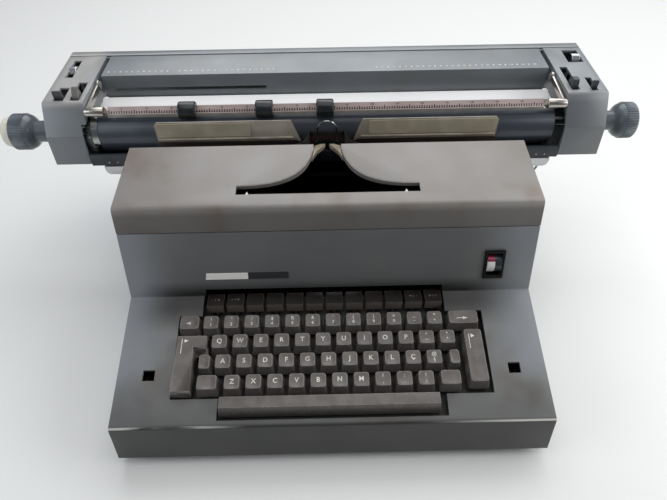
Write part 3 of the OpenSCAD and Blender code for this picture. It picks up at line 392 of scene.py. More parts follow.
# The card guides are pressed from clear acetate sheet that has yellowed with age. A thicker
# panel is cemented to their outer part, and the lower edge is folded, so it shines.
def acetate(name, haze_share, tint, film):
    """Yellowed clear sheet, glossy, with fingerprints of about 18 mm."""
    material, tree, place = new_material(name)
    prints = patches(tree, place, 18, 0.35, 0.75, detail=2)
    haze = add(tree, "BsdfPrincipled", {
        "Base Color": layered(tree, tint, (prints, film)), "Roughness": 0.18})
    clear = add(tree, "BsdfTransparent", {"Color": srgb("#d9d0b4")})
    cover = add(tree, "MapRange", {
        "Value": prints, "To Min": haze_share, "To Max": haze_share + 0.08})
    sheet = add(tree, "MixShader", {
        0: cover.outputs[0], 1: clear.outputs[0], 2: haze.outputs[0]})
    add(tree, "OutputMaterial", {"Surface": sheet.outputs[0]})
    return material


dress("card_guides", acetate("yellowed_acetate", 0.45, "#c9c0b2", "#d3cbbf"), 0.15)


# The carriage rail is an aluminium extrusion, milled bright, that shows as a pale strip
# under both ends of the carriage. A thin lead in a grey sheath hangs from it.
def milled_aluminium():
    """Satin aluminium with lines 0.5 mm apart along X, and painted near black in its middle as
    shade.
    """
    material, tree, place = new_material("milled_aluminium")
    stretched = add(tree, "VectorMath", {0: place, 1: (0.02, 1, 1)}, operation="MULTIPLY")
    tone = layered(tree, "#c3c5c7", (patches(tree, place, 40, 0.3, 0.7), "#d2d3d2"),
                   (inside(tree, place, (-120, 60, 100), (120, 200, 140)), "#0d0c0b"))
    return finish_surface(material, tree, tone, 0.34, (stretched.outputs[0], 0.5, 2), 0.006,
                          Metallic=0.85)


dress("carriage_rail", milled_aluminium(), 0.4)
dress("carriage_lead", moulded("grey_cable_sheath", "#a9aaa8", "#b9bab7", 0.5))


# The mains switch: a rocker between two cheeks in a black bezel. One half of the rocker is
# white and red, and the other black.
dress("switch_bezel", moulded("matt_bezel_plastic", "#0e0e0f", "#161616", 0.5,
                              Specular_IOR_Level=0.2), 0.5)
red_from_middle = 6.8


def rocker_plastic():
    """Two-colour moulding: red above white on the left, black on the right."""
    material, tree, place = new_material("two_colour_rocker_plastic")
    low, high = [corner * 1000 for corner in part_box("switch_rocker")]
    middle = (low + high) / 2
    split = add(tree, "SeparateXYZ", {0: place})
    upper = add(tree, "Math", {0: split.outputs["Z"], 1: middle.z + red_from_middle},
                operation="GREATER_THAN")
    dark_side = add(tree, "Math", {0: split.outputs["X"], 1: middle.x},
                    operation="GREATER_THAN")
    tone = layered(tree, "#e6e3de", (upper.outputs[0], "#8f2140"),
                   (dark_side.outputs[0], "#313335"))
    return finish_surface(material, tree, tone, 0.22)


dress("switch_rocker", rocker_plastic(), 0.4)


# The keys are moulded in dark brown plastic, hollow under a dished top. Their edges are
# paler in patches, partly from wear by use and partly as a painted highlight.
def key_plastic(name, colour, worn, edge, front=None, **sockets):
    """Dark glossy moulding: fingers have polished it in patches of about 10 mm."""
    material, tree, place = new_material(name)
    rubbed = patches(tree, place, 10, 0.35, 0.7)
    films = [(rubbed, worn)]
    # Faces that look along Y can take a lighter colour as painted light, against tops left dark
    # as painted shade.
    if front:
        painted_front_light = add(tree, "MapRange", {
            "Value": facing(tree, "YY", 1), "From Min": 0.4, "From Max": 0.7})
        films.append((painted_front_light.outputs[0], front))
    # Paler edges in patches: partly wear, partly painted highlight.
    worn_and_highlit_rims = product(tree, worn_edges(tree, 0.9), patches(tree, place, 4, 0.25, 0.5))
    tone = layered(tree, colour, *films, (worn_and_highlit_rims, edge))
    shine = add(tree, "MapRange", {"Value": rubbed, "To Min": 0.38, "To Max": 0.26})
    return finish_surface(material, tree, tone, shine.outputs[0], (place, 1 / 2.2, 1), 0.01,
                          **sockets)


key_brown = key_plastic("dark_brown_key_plastic", "#5d5753", "#696460", "#a09a95")
dress("margin_key space_bar", key_brown, 0.8)
# The tabulator keys' tops are painted near black as shade under the hood, their fronts lighter as
# painted light, and their front edges paler as a painted highlight.
dress("tabulator_keys", key_plastic("tab_key_plastic", "#1a1613", "#231e1b", "#5f5852", "#665d57",
                                    Specular_IOR_Level=0.25), 0.6)


# The carriage: a black frame under blue-grey enamelled covers, cooler than the body. The
# left end's top is painted paler and warmer as a painted sheen, and the right end's front
# is painted darker as shade.
dress("carriage_frame", plated("blue_black_lacquer", "#262b30", "#31363a", 0.42, 0.0), 0.4)
carriage_enamel = enamel(
    "blue_grey_enamel", "#73787c", "#7f8386", "#72736b", "#b9bec0",
    films=(("#a8a49e", (("X", -238, -258), ("Z", 189, 193), 0.6)),
           ("#34383b", (("X", 236, 250), ("Z", 192, 186), 0.32))), Specular_IOR_Level=0.9)
dress("end_cover_left end_cover_right rear_cover paper_lid", carriage_enamel, 0.9)


# The platen is a tube of hard rubber, ground smooth, on a turned steel shaft. The feed
# rollers below it and the bail's rollers above it are soft rubber on nickelled steel.
dress("platen", rubber("ground_platen_rubber", "#383d45", "#474d55", 0.30, 60), 0.6)
dress("platen_shaft platen_ratchet",
      plated("turned_bright_steel", "#a3a5a6", "#bdbdba", 0.26, 1.0))
dress("feed_rollers", black_rubber, 0.3)
nickel = plated("worn_nickel_plate", "#b9b3ab", "#cbc6bf", 0.28, 1.0)
dress("bail_arms bail_bar", nickel, 0.25)
dress("bail_rollers", rubber("bail_roller_rubber", "#1f2426", "#2d3234", 0.24), 0.8)


# The typing keys: each a tapered cap of the same plastic, hollowed on top in a shallow
# round dish, pressed on a flat steel stem. The rim of the dish is left sharp and shines.
key_slope = math.radians(9.57)
key_fall = math.tan(key_slope)
key_pitch = 0.01905
key_drop = 0.011
side_taper, end_taper = 0.0018, 0.0019
cad_bevel = 0.0028
dish_depth = 0.0009
dish_rim = 0.0004
cap_corner = 0.0023
stem_width, stem_length = 0.003, 0.008
dish_steps = 16


def round_corner(x, y, width, length):
    """Moves a place in a rectangle's corner into the same place in a round corner."""
    inner = width / 2 - cap_corner, length / 2 - cap_corner
    u, v = (abs(x) - inner[0]) / cap_corner, (abs(y) - inner[1]) / cap_corner
    if u <= 0 or v <= 0:
        return x, y
    return (math.copysign(inner[0] + cap_corner * u * math.sqrt(1 - v * v / 2), x),
            math.copysign(inner[1] + cap_corner * v * math.sqrt(1 - u * u / 2), y))


def hollow(x, y, width, length):
    """Depth of the dish at a place measured from the middle of a key's top."""
    reach = min(width, length) / 2 - dish_rim
    side = max(0, abs(x) - (width / 2 - dish_rim - reach))
    end = max(0, abs(y) - (length / 2 - dish_rim - reach))
    return dish_depth * max(0, 1 - (side * side + end * end) / (reach * reach))


def bridge(shape, near, far, closed=False):
    """Faces between two rows of vertices, or between two closed loops of them."""
    for k in range(len(near) - (not closed)):
        n = (k + 1) % len(near)
        shape.faces.new((near[k], near[n], far[n], far[k]))


def cap_shape(shape, centre, base_w, base_l, foot_z):
    """Adds one cap and its stem: a dished grid on top, four tapered sides and a base."""
    width, length = base_w - 2 * side_taper, base_l - 2 * end_taper
    columns = max(dish_steps, round(dish_steps * width / length))
    rows = max(dish_steps, round(dish_steps * length / width))
    grid = []
    for i in range(columns + 1):
        grid.append([])
        for j in range(rows + 1):
            x, y = round_corner(width * (i / columns - 0.5), length * (j / rows - 0.5),
                                width, length)
            z = centre.z + y * key_fall - hollow(x, y, width, length)
            grid[-1].append(shape.verts.new((centre.x + x, centre.y + y, z)))
    lines = list(zip(*grid))
    for near, far in zip(lines, lines[1:]):
        bridge(shape, near, far)
    rim = [*lines[0], *grid[-1][1:], *lines[-1][-2::-1], *grid[0][-2:0:-1]]
    grow = Vector((base_w / width, base_l / length))
    skirt = []
    for vertex in rim:
        x, y = (vertex.co.x - centre.x) * grow.x, (vertex.co.y - centre.y) * grow.y
        skirt.append(shape.verts.new((centre.x + x, centre.y + y,
                                      centre.z - key_drop + y * key_fall)))
    bridge(shape, skirt, rim, True)
    shape.faces.new(skirt[::-1])
    height = centre.z - key_drop / 2 - foot_z
    bmesh.ops.create_cube(shape, size=1, matrix=Matrix.Translation(
        (centre.x, centre.y, foot_z + height / 2)) @ Matrix.Diagonal(
            (stem_width, stem_length, height, 1)))


def piece_of(name, shape, material):
    """An object made of a finished bmesh, in one material."""
    mesh = bpy.data.meshes.new(name)
    shape.to_mesh(mesh)
    shape.free()
    mesh.materials.append(material)
    return in_scene(name, mesh)


def key_caps(node, count=1, left_out=None):
    """Replaces a node of keys by dished caps in the same places, and returns their tops."""
    low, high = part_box(node)
    base_w, base_l = high.x - low.x - key_pitch * (count - 1), high.y - low.y
    middle = (low + high) / 2
    first = middle.x - key_pitch * (count - 1) / 2
    height = high.z - (base_l / 2 - cad_bevel) * key_fall
    tops = [Vector((first + k * key_pitch, middle.y, height)) for k in range(count)]
    shape = bmesh.new()
    for k, centre in enumerate(tops):
        if k != left_out:
            cap_shape(shape, centre, base_w, base_l, low.z)
    caps = piece_of(node + "_caps", shape, key_brown)
    rounded(caps, 0.4, 2, 32)
    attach(caps, node)
    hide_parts(node)
    return tops, base_w - 2 * side_taper, base_l - 2 * end_taper


key_tops = {node: key_caps(node, *rest) for node, *rest in (
    ("number_keys", 12), ("upper_letter_keys", 12), ("home_letter_keys", 11, 5),
    ("middle_letter_key",), ("lower_letter_keys", 10), ("return_key",), ("backspace_key",),
    ("wide_right_key",), ("shift_lock_key",), ("narrow_right_key",), ("shift_key_left",),
    ("shift_key_right",))}


# The legends are moulded through the key tops in off-white plastic. Shifted signs stand
# above the digits, and small arrows mark the keys that work the carriage.
legend_proud = 0.00008
legend_lift = legend_proud * 0.6
stroke_gain = 0.015


def lettering(text, size):
    """Flat outlines of a short text, centred on the origin, as a mesh."""
    curve = bpy.data.curves.new("legend", "FONT")
    curve.body = text
    curve.size = size
    curve.align_x = "CENTER"
    curve.align_y = "CENTER"
    curve.resolution_u = 3
    curve.offset = size * stroke_gain
    curve.extrude = legend_proud
    holder = in_scene("legend", curve)
    bpy.context.view_layer.update()
    graph = bpy.context.evaluated_depsgraph_get()
    mesh = bpy.data.meshes.new_from_object(holder.evaluated_get(graph))
    bpy.data.objects.remove(holder)
    bpy.data.curves.remove(curve)
    return mesh


def polygon_mesh(points, thickness=2 * legend_proud):
    """A flat polygon in metres, with its thickness centred on Z = 0, as a mesh."""
    mesh = bpy.data.meshes.new("flat")
    shape = bmesh.new()
    ring = [shape.verts.new((x, y, -thickness / 2)) for x, y in points]
    face = shape.faces.new(ring)
    top = bmesh.ops.extrude_face_region(shape, geom=[face])
    bmesh.ops.translate(shape, vec=(0, 0, thickness), verts=[
        v for v in top["geom"] if isinstance(v, bmesh.types.BMVert)])
    bmesh.ops.recalc_face_normals(shape, faces=shape.faces)
    shape.to_mesh(mesh)
    shape.free()
    return mesh


def joined(name, placed, material, body):
    """One piece of several meshes, each with its place, that rides on a body."""
    shape = bmesh.new()
    for mesh, place in placed:
        mesh.transform(place)
        shape.from_mesh(mesh)
    piece = piece_of(name, shape, material)
    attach(piece, body)
    return piece


def sunk(node, mesh, x=0.0, y=0.0):
    """Lowers a flat mesh into a key's dish, x and y metres from the middle of the top."""
    tops, width, length = key_tops[node]
    for vertex in mesh.vertices:
        vertex.co.z -= hollow(vertex.co.x + x, vertex.co.y + y, width, length)
    return mesh


def at(x, y, z, tilt=0.0):
    """A place in metres, tilted about X."""
    return Matrix.Translation((x, y, z)) @ Matrix.Rotation(tilt, 4, "X")


legend_white = moulded("off_white_legend_plastic", "#e6e2da", "#c4beb5", 0.4, 5)
capital, capital_up = 0.0061, 0.0004
small, digit_up, sign_up = 0.0044, -0.0023, 0.0027
rows = (
    ("number_keys", [("1", "!"), ("2", '"'), ("3", "/"), ("4", "$"), ("5", "%"), ("6", "&"),
                     ("7", "'"), ("8", "("), ("9", ")"), ("0", "="), ("-", "_"), ("+", "*")]),
    ("upper_letter_keys", ["Q", "W", "E", "R", "T", "Y", "U", "I", "O", "P", ("~", "^"),
                           ("º", "ª")]),
    ("home_letter_keys", ["A", "S", "D", "F", "G", "H", "J", "K", "L", "Ç", ("§", "@")]),
    ("lower_letter_keys", ["Z", "X", "C", "V", "B", "N", "M", (",", "?"), (".", ":"),
                           (";", "!")]),
)
for node, signs in rows:
    placed = []
    for sign, centre in zip(signs, key_tops[node][0]):
        parts = ((sign, capital, capital_up),)
        if isinstance(sign, tuple):
            parts = ((sign[0], small, digit_up), (sign[1], small, sign_up))
        placed += [(sunk(node, lettering(text, size), y=up_key),
                    at(*centre, key_slope) @ at(0, up_key, legend_lift))
                   for text, size, up_key in parts]
    if node == "home_letter_keys":
        joined("middle_letter_legend", [placed.pop(5)], legend_white, "middle_letter_key")
    joined(node.replace("keys", "legends"), placed, legend_white, node)


def mark(node, shapes):
    """Flat shapes on a key's top: each is its centre (X, Y) and the outline around that."""
    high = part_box(node)[1]
    placed = []
    for (x, y), outline in shapes:
        mesh = polygon_mesh(outline)
        if node in key_tops:
            middle = key_tops[node][0][0]
            sunk(node, mesh, x - middle.x, y - middle.y)
        z = high.z + (y - high.y + cad_bevel) * key_fall + legend_lift
        placed.append((mesh, at(x, y, z, key_slope)))
    joined(node + "_mark", placed, legend_white, node)


def triangle(length, height):
    """A triangle centred on the origin that points along +X, or -X for a negative length."""
    points = [(-length / 2, -height / 2), (length / 2, 0), (-length / 2, height / 2)]
    return points if length > 0 else points[::-1]


def rectangle(x0, y0, x1, y1):
    """The outline of a rectangle between two corners."""
    return [(x0, y0), (x1, y0), (x1, y1), (x0, y1)]


def bar(width, height):
    """A rectangle centred on the origin."""
    return rectangle(-width / 2, -height / 2, width / 2, height / 2)


mark("margin_key", [((-0.1366, -0.1222), bar(0.0007, 0.0142)),
                    ((-0.1325, -0.1171), triangle(0.0040, 0.0032))])
mark("return_key", [((0.1264, -0.1227), bar(0.0007, 0.0142)),
                    ((0.1300, -0.1176), triangle(0.0036, 0.0040))])
mark("wide_right_key", [((0.1212, -0.0997), bar(0.0066, 0.0007)),
                        ((0.1264, -0.0997), triangle(0.0048, 0.0030))])
mark("backspace_key", [((-0.1333, -0.0993), triangle(-0.0044, 0.0030))])


# The tabulator keys' legends are only printed, and fingers have all but rubbed them away.
# Three faint signs are left on each of the two outer keys at either end.
tab_low, tab_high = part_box("tabulator_keys")
outer_key, next_key = 0.0078, 0.0268
sign_size, sign_pitch, sign_back = 0.0028, 0.003, 0.0068
faint_ink = moulded("rubbed_legend_ink", "#8d857e", "#6a635d", 0.5, 3)
joined("tabulator_marks", [
    (lettering(sign, sign_size), at(middle + (k - 1) * sign_pitch, tab_high.y - sign_back,
                                    tab_high.z + legend_lift))
    for middle, signs in ((tab_low.x + outer_key, "-|H"), (tab_low.x + next_key, "+|H"),
                          (tab_high.x - next_key, "H|-"), (tab_high.x - outer_key, "H|+"))
    for k, sign in enumerate(signs)], faint_ink, "tabulator_keys")


# Badge plates: two bare strips of stamped aluminium, white and black, held by their pins
# in the upright face. The white one's outer end is cut at a slant.
def on_upright(z, proud):
    """A place on the upright face, with Z outwards and Y up the slope."""
    crease = Vector((0, -0.069, 0.0778))
    seam = Vector((0, -0.0466, 0.142))
    slope = (seam - crease).normalized()
    out = Vector((1, 0, 0)).cross(slope)
    spot = crease.lerp(seam, (z - crease.z) / (seam.z - crease.z)) + out * proud
    turn = Matrix((Vector((1, 0, 0)), slope, out)).transposed().to_4x4()
    return Matrix.Translation(spot) @ turn


plate_left, plate_seam, plate_right = -0.1183, -0.0778, -0.0394
plate_height, plate_z, plate_t, plate_slant = 0.0066, 0.0984, 0.0007, 0.0012
for name, x0, x1, slant, colour, slot in (
        ("white_badge_plate", plate_left, plate_seam, plate_slant, "#f4f1ea",
         "table_aluminium"),
        ("black_badge_plate", plate_seam, plate_right, 0, "#17181a", "black_plate")):
    outline = [(x0, -plate_height / 2), (x1, -plate_height / 2), (x1, plate_height / 2),
               (x0 + slant, plate_height / 2)]
    joined(name, [(polygon_mesh(outline, plate_t), on_upright(plate_z, plate_t / 2))],
           plated(name + "_enamel", colour, colour, 0.3, 0.0), "chassis")


# The paper scale is printed in white on the lid: at every quarter inch a dot or a numeral,
# in turn, in two runs with a gap in the middle.
mark_pitch = 0.00635
print_proud = 0.00006
numeral_size, dot_width, dot_height, from_edge = 0.0026, 0.0013, 0.0018, 0.008
lid_low, lid_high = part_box("paper_lid")
white_ink = moulded("white_printed_ink", "#e6e6e2", "#c9cbc9", 0.5, 6)
marks = []
for start, end in ((-0.234, -0.050), (0.055, 0.231)):
    for k in range(int((end - start) / mark_pitch) + 1):
        flat = (lettering(str(5 * k), numeral_size) if k % 2 else
                polygon_mesh(bar(dot_width, dot_height), 2 * print_proud))
        marks.append((flat, at(start + k * mark_pitch, lid_low.y + from_edge,
                               lid_high.z + print_proud)))
joined("lid_scale", marks, white_ink, "paper_lid")


# The paper bail's bar carries a scale printed dark red on a pale strip, above a nickelled
# rim. Each space of the carriage has a tick, and each tenth a numeral.
bail_low, bail_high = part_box("bail_bar")
bail_middle = (bail_low + bail_high) / 2
bail_tilt, strip_front = math.radians(-38), 0.00085
strip_half, strip_low, strip_top, strip_t = 0.2215, -0.0032, 0.0048, 0.00016
rim_low, rim_top, rim_t = -0.0060, -0.0034, 0.0006
tick_half, tick_low, tick_t = 0.00055, -0.0023, 0.0001
ten_tall, five_tall, one_tall = 0.0036, 0.0031, 0.0026
bail_numeral, bail_numeral_up = 0.0022, 0.0026
letter_space = 0.00254
strip_pale = moulded("pale_pink_scale_paint", "#b9a6a2", "#c6b5b1", 0.35, 20)
scale_ink = moulded("dark_red_scale_ink", "#3f2022", "#2c1719", 0.4, 8)
on_strip = (at(0, bail_middle.y, bail_middle.z, bail_tilt)
            @ at(0, -strip_front, 0, math.pi / 2))
ticks = []
for k in range(int(2 * strip_half / letter_space)):
    x = -strip_half + (k + 0.5) * letter_space
    tall = ten_tall if k % 10 == 0 else five_tall if k % 5 == 0 else one_tall
    tick = rectangle(x - tick_half, tick_low, x + tick_half, tick_low + tall)
    ticks.append((polygon_mesh(tick, tick_t), on_strip @ at(0, 0, tick_t)))
    if k % 10 == 5:
        ticks.append((lettering(str(k // 10 * 10), bail_numeral),
                      on_strip @ at(x, bail_numeral_up, tick_t)))
strip = polygon_mesh(rectangle(-strip_half, strip_low, strip_half, strip_top), strip_t)
rim = polygon_mesh(rectangle(-strip_half, rim_low, strip_half, rim_top), rim_t)
joined("bail_scale_strip", [(strip, on_strip)], strip_pale, "paper_bail")
joined("bail_scale_rim", [(rim, on_strip)], nickel, "paper_bail")
joined("bail_scale_ticks", ticks, scale_ink, "paper_bail")


# The paper table is a white enamelled sheet that leans back from the feed rollers to the
# lid. Its lower edge is rolled over, to lead the paper down behind the platen. It glows a
# little, because the daylight from behind overexposes it in the photograph.
white_sheet = moulded("white_enamelled_sheet", "#ffffff", "#f9f8f8", 0.35, 60,
                      Emission_Color=srgb("#ffffff"), Emission_Strength=0.22)
table_overrun, table_t, table_sections = 0.0087, 0.0009, 24
table_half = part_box("paper_table")[1].x + table_overrun
table_profile = [(0.1208, 0.1565), (0.1211, 0.1590), (0.1219, 0.1612), (0.1233, 0.1628),
                 (0.1255, 0.1642), (0.1375, 0.1696)]
sheet = bmesh.new()
lines = [[sheet.verts.new((table_half * (2 * k / table_sections - 1), y, z))
          for k in range(table_sections + 1)] for y, z in table_profile]
for lower, upper in zip(lines, lines[1:]):
    bridge(sheet, lower, upper)
paper_table = piece_of("paper_table_sheet", sheet, white_sheet)
thicken = paper_table.modifiers.new("thickness", "SOLIDIFY")
thicken.thickness = table_t
rounded(paper_table, 0.25, 2).harden_normals = False
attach(paper_table, "carriage")
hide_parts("paper_table")


# The card guides' folded lower edge, a bead of the same sheet that catches the light, and
# the thicker yellow panel that is cemented to the outer part of each guide.
def rod_mesh(radius, length, sides=20):
    """A round bar from the origin along +X."""
    mesh = polygon_mesh([(radius * math.cos(2 * math.pi * k / sides),
                          radius * math.sin(2 * math.pi * k / sides))
                         for k in range(sides)], length)
    mesh.transform(Matrix.Translation((length / 2, 0, 0)) @ Matrix.Rotation(math.pi / 2, 4, "Y"))
    return mesh


def rounded_plate(width, height, corner, thickness, steps=6):
    """A plate centred on the origin, facing +Z, with round corners."""
    points = []
    for turn, (sx, sy) in enumerate(((1, 1), (-1, 1), (-1, -1), (1, -1))):
        for k in range(steps + 1):
            angle = math.pi / 2 * (turn + k / steps)
            points.append((sx * (width / 2 - corner) + corner * math.cos(angle),
                           sy * (height / 2 - corner) + corner * math.sin(angle)))
    return polygon_mesh(points, thickness)


card_low, card_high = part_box("card_guides")
bead, bead_up = 0.0011, 0.0052
panel_up, panel_down, panel_corner, panel_t, panel_out = 0.0078, 0.0017, 0.0028, 0.0007, 0.0004
fold_from, card_margin = 0.0345, 0.0015
outer = card_high.x - card_margin
fold_finish = moulded("folded_acetate_edge", "#8b8375", "#b5ada0", 0.12, 30)
panel_finish = acetate("aged_acetate_panel", 0.72, "#c6bda6", "#d0c8b2")
for side, name, panel_from in ((-1, "left", 0.0770), (1, "right", 0.0425)):
    fold = at(min(side * fold_from, side * outer), card_low.y - bead * 0.6,
              card_low.z + bead_up)
    joined("card_fold_" + name, [(rod_mesh(bead, outer - fold_from), fold)], fold_finish,
           "chassis")
    width, height = outer - panel_from, card_high.z - card_low.z - panel_up - panel_down
    place = at(side * (panel_from + width / 2), card_low.y - panel_out,
               card_low.z + panel_up + height / 2, math.pi / 2)
    joined("card_panel_" + name, [(rounded_plate(width, height, panel_corner, panel_t), place)],
           panel_finish, "chassis")


# Two small white tongues reach back from the cover's front edge into the throat, one at
# each end. They are the tips of the clips that hold the cover down.
cover_slope = math.atan2(0.0062, 0.0821)
clip_left, clip_right, clip_y, clip_z, clip_t = -0.0738, 0.0713, -0.0241, 0.1664, 0.0008
tongue = [(-0.0018, -0.0020), (0.0018, -0.0020), (0.0018, 0), (0, 0.0042), (-0.0018, 0)]
clip_white = moulded("white_clip_plastic", "#e9e7e2", "#d3cfc7", 0.4, 8)
joined("cover_clips", [(polygon_mesh(tongue, clip_t), at(x, clip_y, clip_z, cover_slope))
                       for x in (clip_left, clip_right)],
       clip_white, "top_cover")


# Small pale rivets hold the carriage's front apron to its frame near both ends. They are
# of aluminium, closed by a punch that leaves their heads bright.
apron_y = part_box("carriage_frame")[0].y
rivet_radius, rivet_length, rivet_sunk, rivet_z = 0.0007, 0.0006, 0.0001, 0.1359
rivet_alloy = plated("aluminium_rivet", "#c9cbcc", "#b2b3b2", 0.3, 0.9)
joined("apron_rivets", [
    (rod_mesh(rivet_radius, rivet_length),
     at(x, apron_y + rivet_sunk, rivet_z) @ Matrix.Rotation(-math.pi / 2, 4, "Z"))
    for x in (-0.2307, -0.2218, 0.2218, 0.2307)], rivet_alloy, "carriage")


# The turning knobs are moulded in grey plastic: a sleeve that swells into a dome, and a
# fluted rim for the fingers. A cream cap is pressed into the end of the left one.
knob_plastic = moulded("grey_knob_plastic", "#5a6268", "#697177", 0.27)
cream_plastic = moulded("cream_cap_plastic", "#e4e0d0", "#d8d3c1", 0.34)
flutes, flute_points = 44, 4
cover_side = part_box("end_cover_right")[1].x
left_rings = ((0.6, 11.2, 0), (20.6, 11.2, 0), (21.4, 11.9, 0), (22.6, 13.6, 0),
              (24.2, 15.6, 0), (26, 17.0, 0), (28, 17.9, 0), (30, 18.3, 0), (30.1, 19, 0.8),
              (43.8, 19, 0.8), (44.6, 18.2, 0.4), (44.7, 15, 0))
right_rings = ((0.6, 10.2, 0), (18.4, 10.2, 0), (19.2, 11.0, 0), (20.4, 13.2, 0),
               (22, 15.3, 0), (24, 17.0, 0), (26, 17.9, 0), (27.6, 18.3, 0),
               (27.7, 19, 0.8), (38.6, 19, 0.8), (39.6, 18, 0.4), (39.9, 12, 0))
cap_rings = ((44.4, 15.8, 0), (50.5, 15.8, 0), (52.6, 15.2, 0), (54, 13.8, 0), (54.8, 11, 0))


def close_tube(shape, loops):
    """Faces round a row of closed loops, with both ends closed."""
    for near, far in zip(loops, loops[1:]):
        bridge(shape, near, far, True)
    shape.faces.new(loops[0])
    shape.faces.new(loops[-1])
    bmesh.ops.recalc_face_normals(shape, faces=shape.faces)


def turned(node, rings, material):
    """Replaces a node on the platen's axis by rings: millimetres out, radius, flute depth."""
    low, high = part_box(node)
    side = 1 if low.x > 0 else -1
    middle = (low + high) / 2
    shape = bmesh.new()
    loops = []
    for out, radius, depth in rings:
        loops.append([])
        for k in range(flutes * flute_points):
            reach = (radius - (depth if k % flute_points > 1 else 0)) / 1000
            angle = 2 * math.pi * k / (flutes * flute_points)
            loops[-1].append(shape.verts.new((side * (cover_side + out / 1000),
                                              middle.y + reach * math.cos(angle),
                                              middle.z + reach * math.sin(angle))))
    close_tube(shape, loops)
    for face in shape.faces:
        face.smooth = True
    piece = piece_of(node + "_turned", shape, material)
    piece.data.set_sharp_from_angle(angle=math.radians(32))
    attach(piece, "platen")
    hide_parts(node)


turned("knob_left", left_rings, knob_plastic)
turned("knob_cap", cap_rings, cream_plastic)
turned("knob_right", right_rings, knob_plastic)


# Four levers stand out of slots in the end covers. They are steel stampings dipped in dark
# plastic, each on its own bush, and their finger ends are worn shiny.
sideways = Matrix(((0, 0, 1, 0), (1, 0, 0, 0), (0, 1, 0, 0), (0, 0, 0, 1)))
plate_in = cover_side - 0.0054


def across(points, near, far):
    """A side view in millimetres (Y, Z), made as thick as from one X to another."""
    mesh = polygon_mesh([(y / 1000, z / 1000) for y, z in points], far - near)
    mesh.transform(Matrix.Translation(((near + far) / 2, 0, 0)) @ sideways)
    return mesh


foot = [(112, 172), (106, 166), (100, 171)]
thin_blade = [(95.2, 190), (94.8, 201.6), (95.6, 202.8), (97.2, 203.0), (98.4, 202.2),
              (99.6, 190)]
wedge = [(95.6, 190), (96, 196), (100.6, 203.0), (102.6, 204.0), (104.4, 203.2), (106.6, 196),
         (108.5, 190)]
round_tab = [(99.2, 190), (99.4, 199), (101, 202.2), (104, 203.0), (108.6, 201.6), (111.4, 197),
             (112, 190)]
right_lever_back_mm = 1.4
dark_dip = moulded("dark_dipped_plastic", "#33393b", "#454b4d", 0.32)
grey_dip = moulded("grey_dipped_plastic", "#6d6d67", "#807f79", 0.32)
for node, outline, near, far, finish in (
        ("line_space_lever", thin_blade, -plate_in + 0.0056, -plate_in + 0.0146, dark_dip),
        ("release_lever_left", wedge, -plate_in + 0.0236, -plate_in + 0.0296, grey_dip),
        ("paper_release_lever", round_tab, plate_in - 0.0292, plate_in - 0.0228, dark_dip),
        ("release_lever_right", [(y + right_lever_back_mm, z) for y, z in thin_blade],
         plate_in - 0.0099, plate_in - 0.0043, dark_dip)):
    piece = joined(node + "_blade", [(across(outline + foot, near, far), Matrix())], finish,
                   node)
    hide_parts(node)
    rounded(piece, 0.6, degrees=28)


# The margin buttons are knurled chromed wheels that stand a little proud of their windows.
# Painted strips beside the wheels and levers leave each only the slot that it needs.
chrome = plated("chromed_button_steel", "#c3c4c8", "#d8d8db", 0.22, 1.0)
wheel_radius, wheel_z, wheel_sides = 0.0068, 0.190, 36
stalk_half_mm, stalk_foot_mm, stalk_in = 4, 138, 0.001
wheels = []
for near, far, y in ((-plate_in + 0.0036, -plate_in + 0.0110, 0.155),
                     (plate_in - 0.0102, plate_in - 0.0013, 0.163)):
    wheels.append((rod_mesh(wheel_radius, far - near, wheel_sides), at(near, y, wheel_z)))
    stalk = rectangle(1000 * y - stalk_half_mm, stalk_foot_mm, 1000 * y + stalk_half_mm,
                      1000 * wheel_z)
    wheels.append((across(stalk, near + stalk_in, far - stalk_in), Matrix()))
buttons = joined("margin_wheels", wheels, chrome, "carriage")
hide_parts("margin_buttons")
rounded(buttons, 0.7, degrees=28)
top_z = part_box("end_cover_left")[1].z
paint_t, paint_down = 0.0024, 0.00005
strips = ((-0.2815, 0.137, -0.2778, 0.173), (-0.2697, 0.137, -0.2635, 0.173),
          (-0.2810, 0.0925, -0.2760, 0.117), (-0.2649, 0.0925, -0.2596, 0.127),
          (0.2773, 0.0935, 0.2810, 0.118))
joined("slot_strips", [(polygon_mesh(rectangle(*corners), paint_t),
                        at(0, 0, top_z - paint_down - paint_t / 2)) for corners in strips],
       carriage_enamel, "carriage")


# A strip of black felt closes the joint between each end cover and the rear cover. It is
# cut from 2 mm sheet and cemented in.
felt = rubber("black_sealing_felt", "#1b1b1a", "#262624", 0.9)
joint_x, joint_y = 0.2656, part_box("rear_cover")[0].y
felt_half, felt_width, felt_t, felt_proud = 0.0205, 0.0011, 0.0022, 0.00007
joined("joint_felt", [
    (polygon_mesh(rectangle(x - felt_half, joint_y - felt_width, x + felt_half, joint_y),
                  felt_t), at(0, 0, top_z + felt_proud - felt_t / 2))
    for x in (-joint_x, joint_x)], felt, "carriage")


# Both sides of the throat are turned down, which stiffens the thin sheet of the top cover
# there. The edge follows a smooth curve from its wide front to its narrow back.
throat_steps, throat_end, tangent_step = 24, 0.86, 0.01
flange_depth, flange_t, flange_sunk = 0.0052, 0.0008, 0.0003
ridge_y, ridge_z, cover_rise = 0.0429, 0.1727, 0.0755
throat_curve = [Vector(c) for c in (
    (0.084, -0.0125), (0.040, -0.0125), (0.012, 0), (0.0125, 0.060))]


def throat_edge(t):
    """A place on the throat's right edge: its front at 0, its back at 1."""
    shares = ((1 - t) ** 3, 3 * t * (1 - t) ** 2, 3 * t * t * (1 - t), t ** 3)
    return sum((guide * share for guide, share in zip(throat_curve, shares)), Vector((0, 0)))


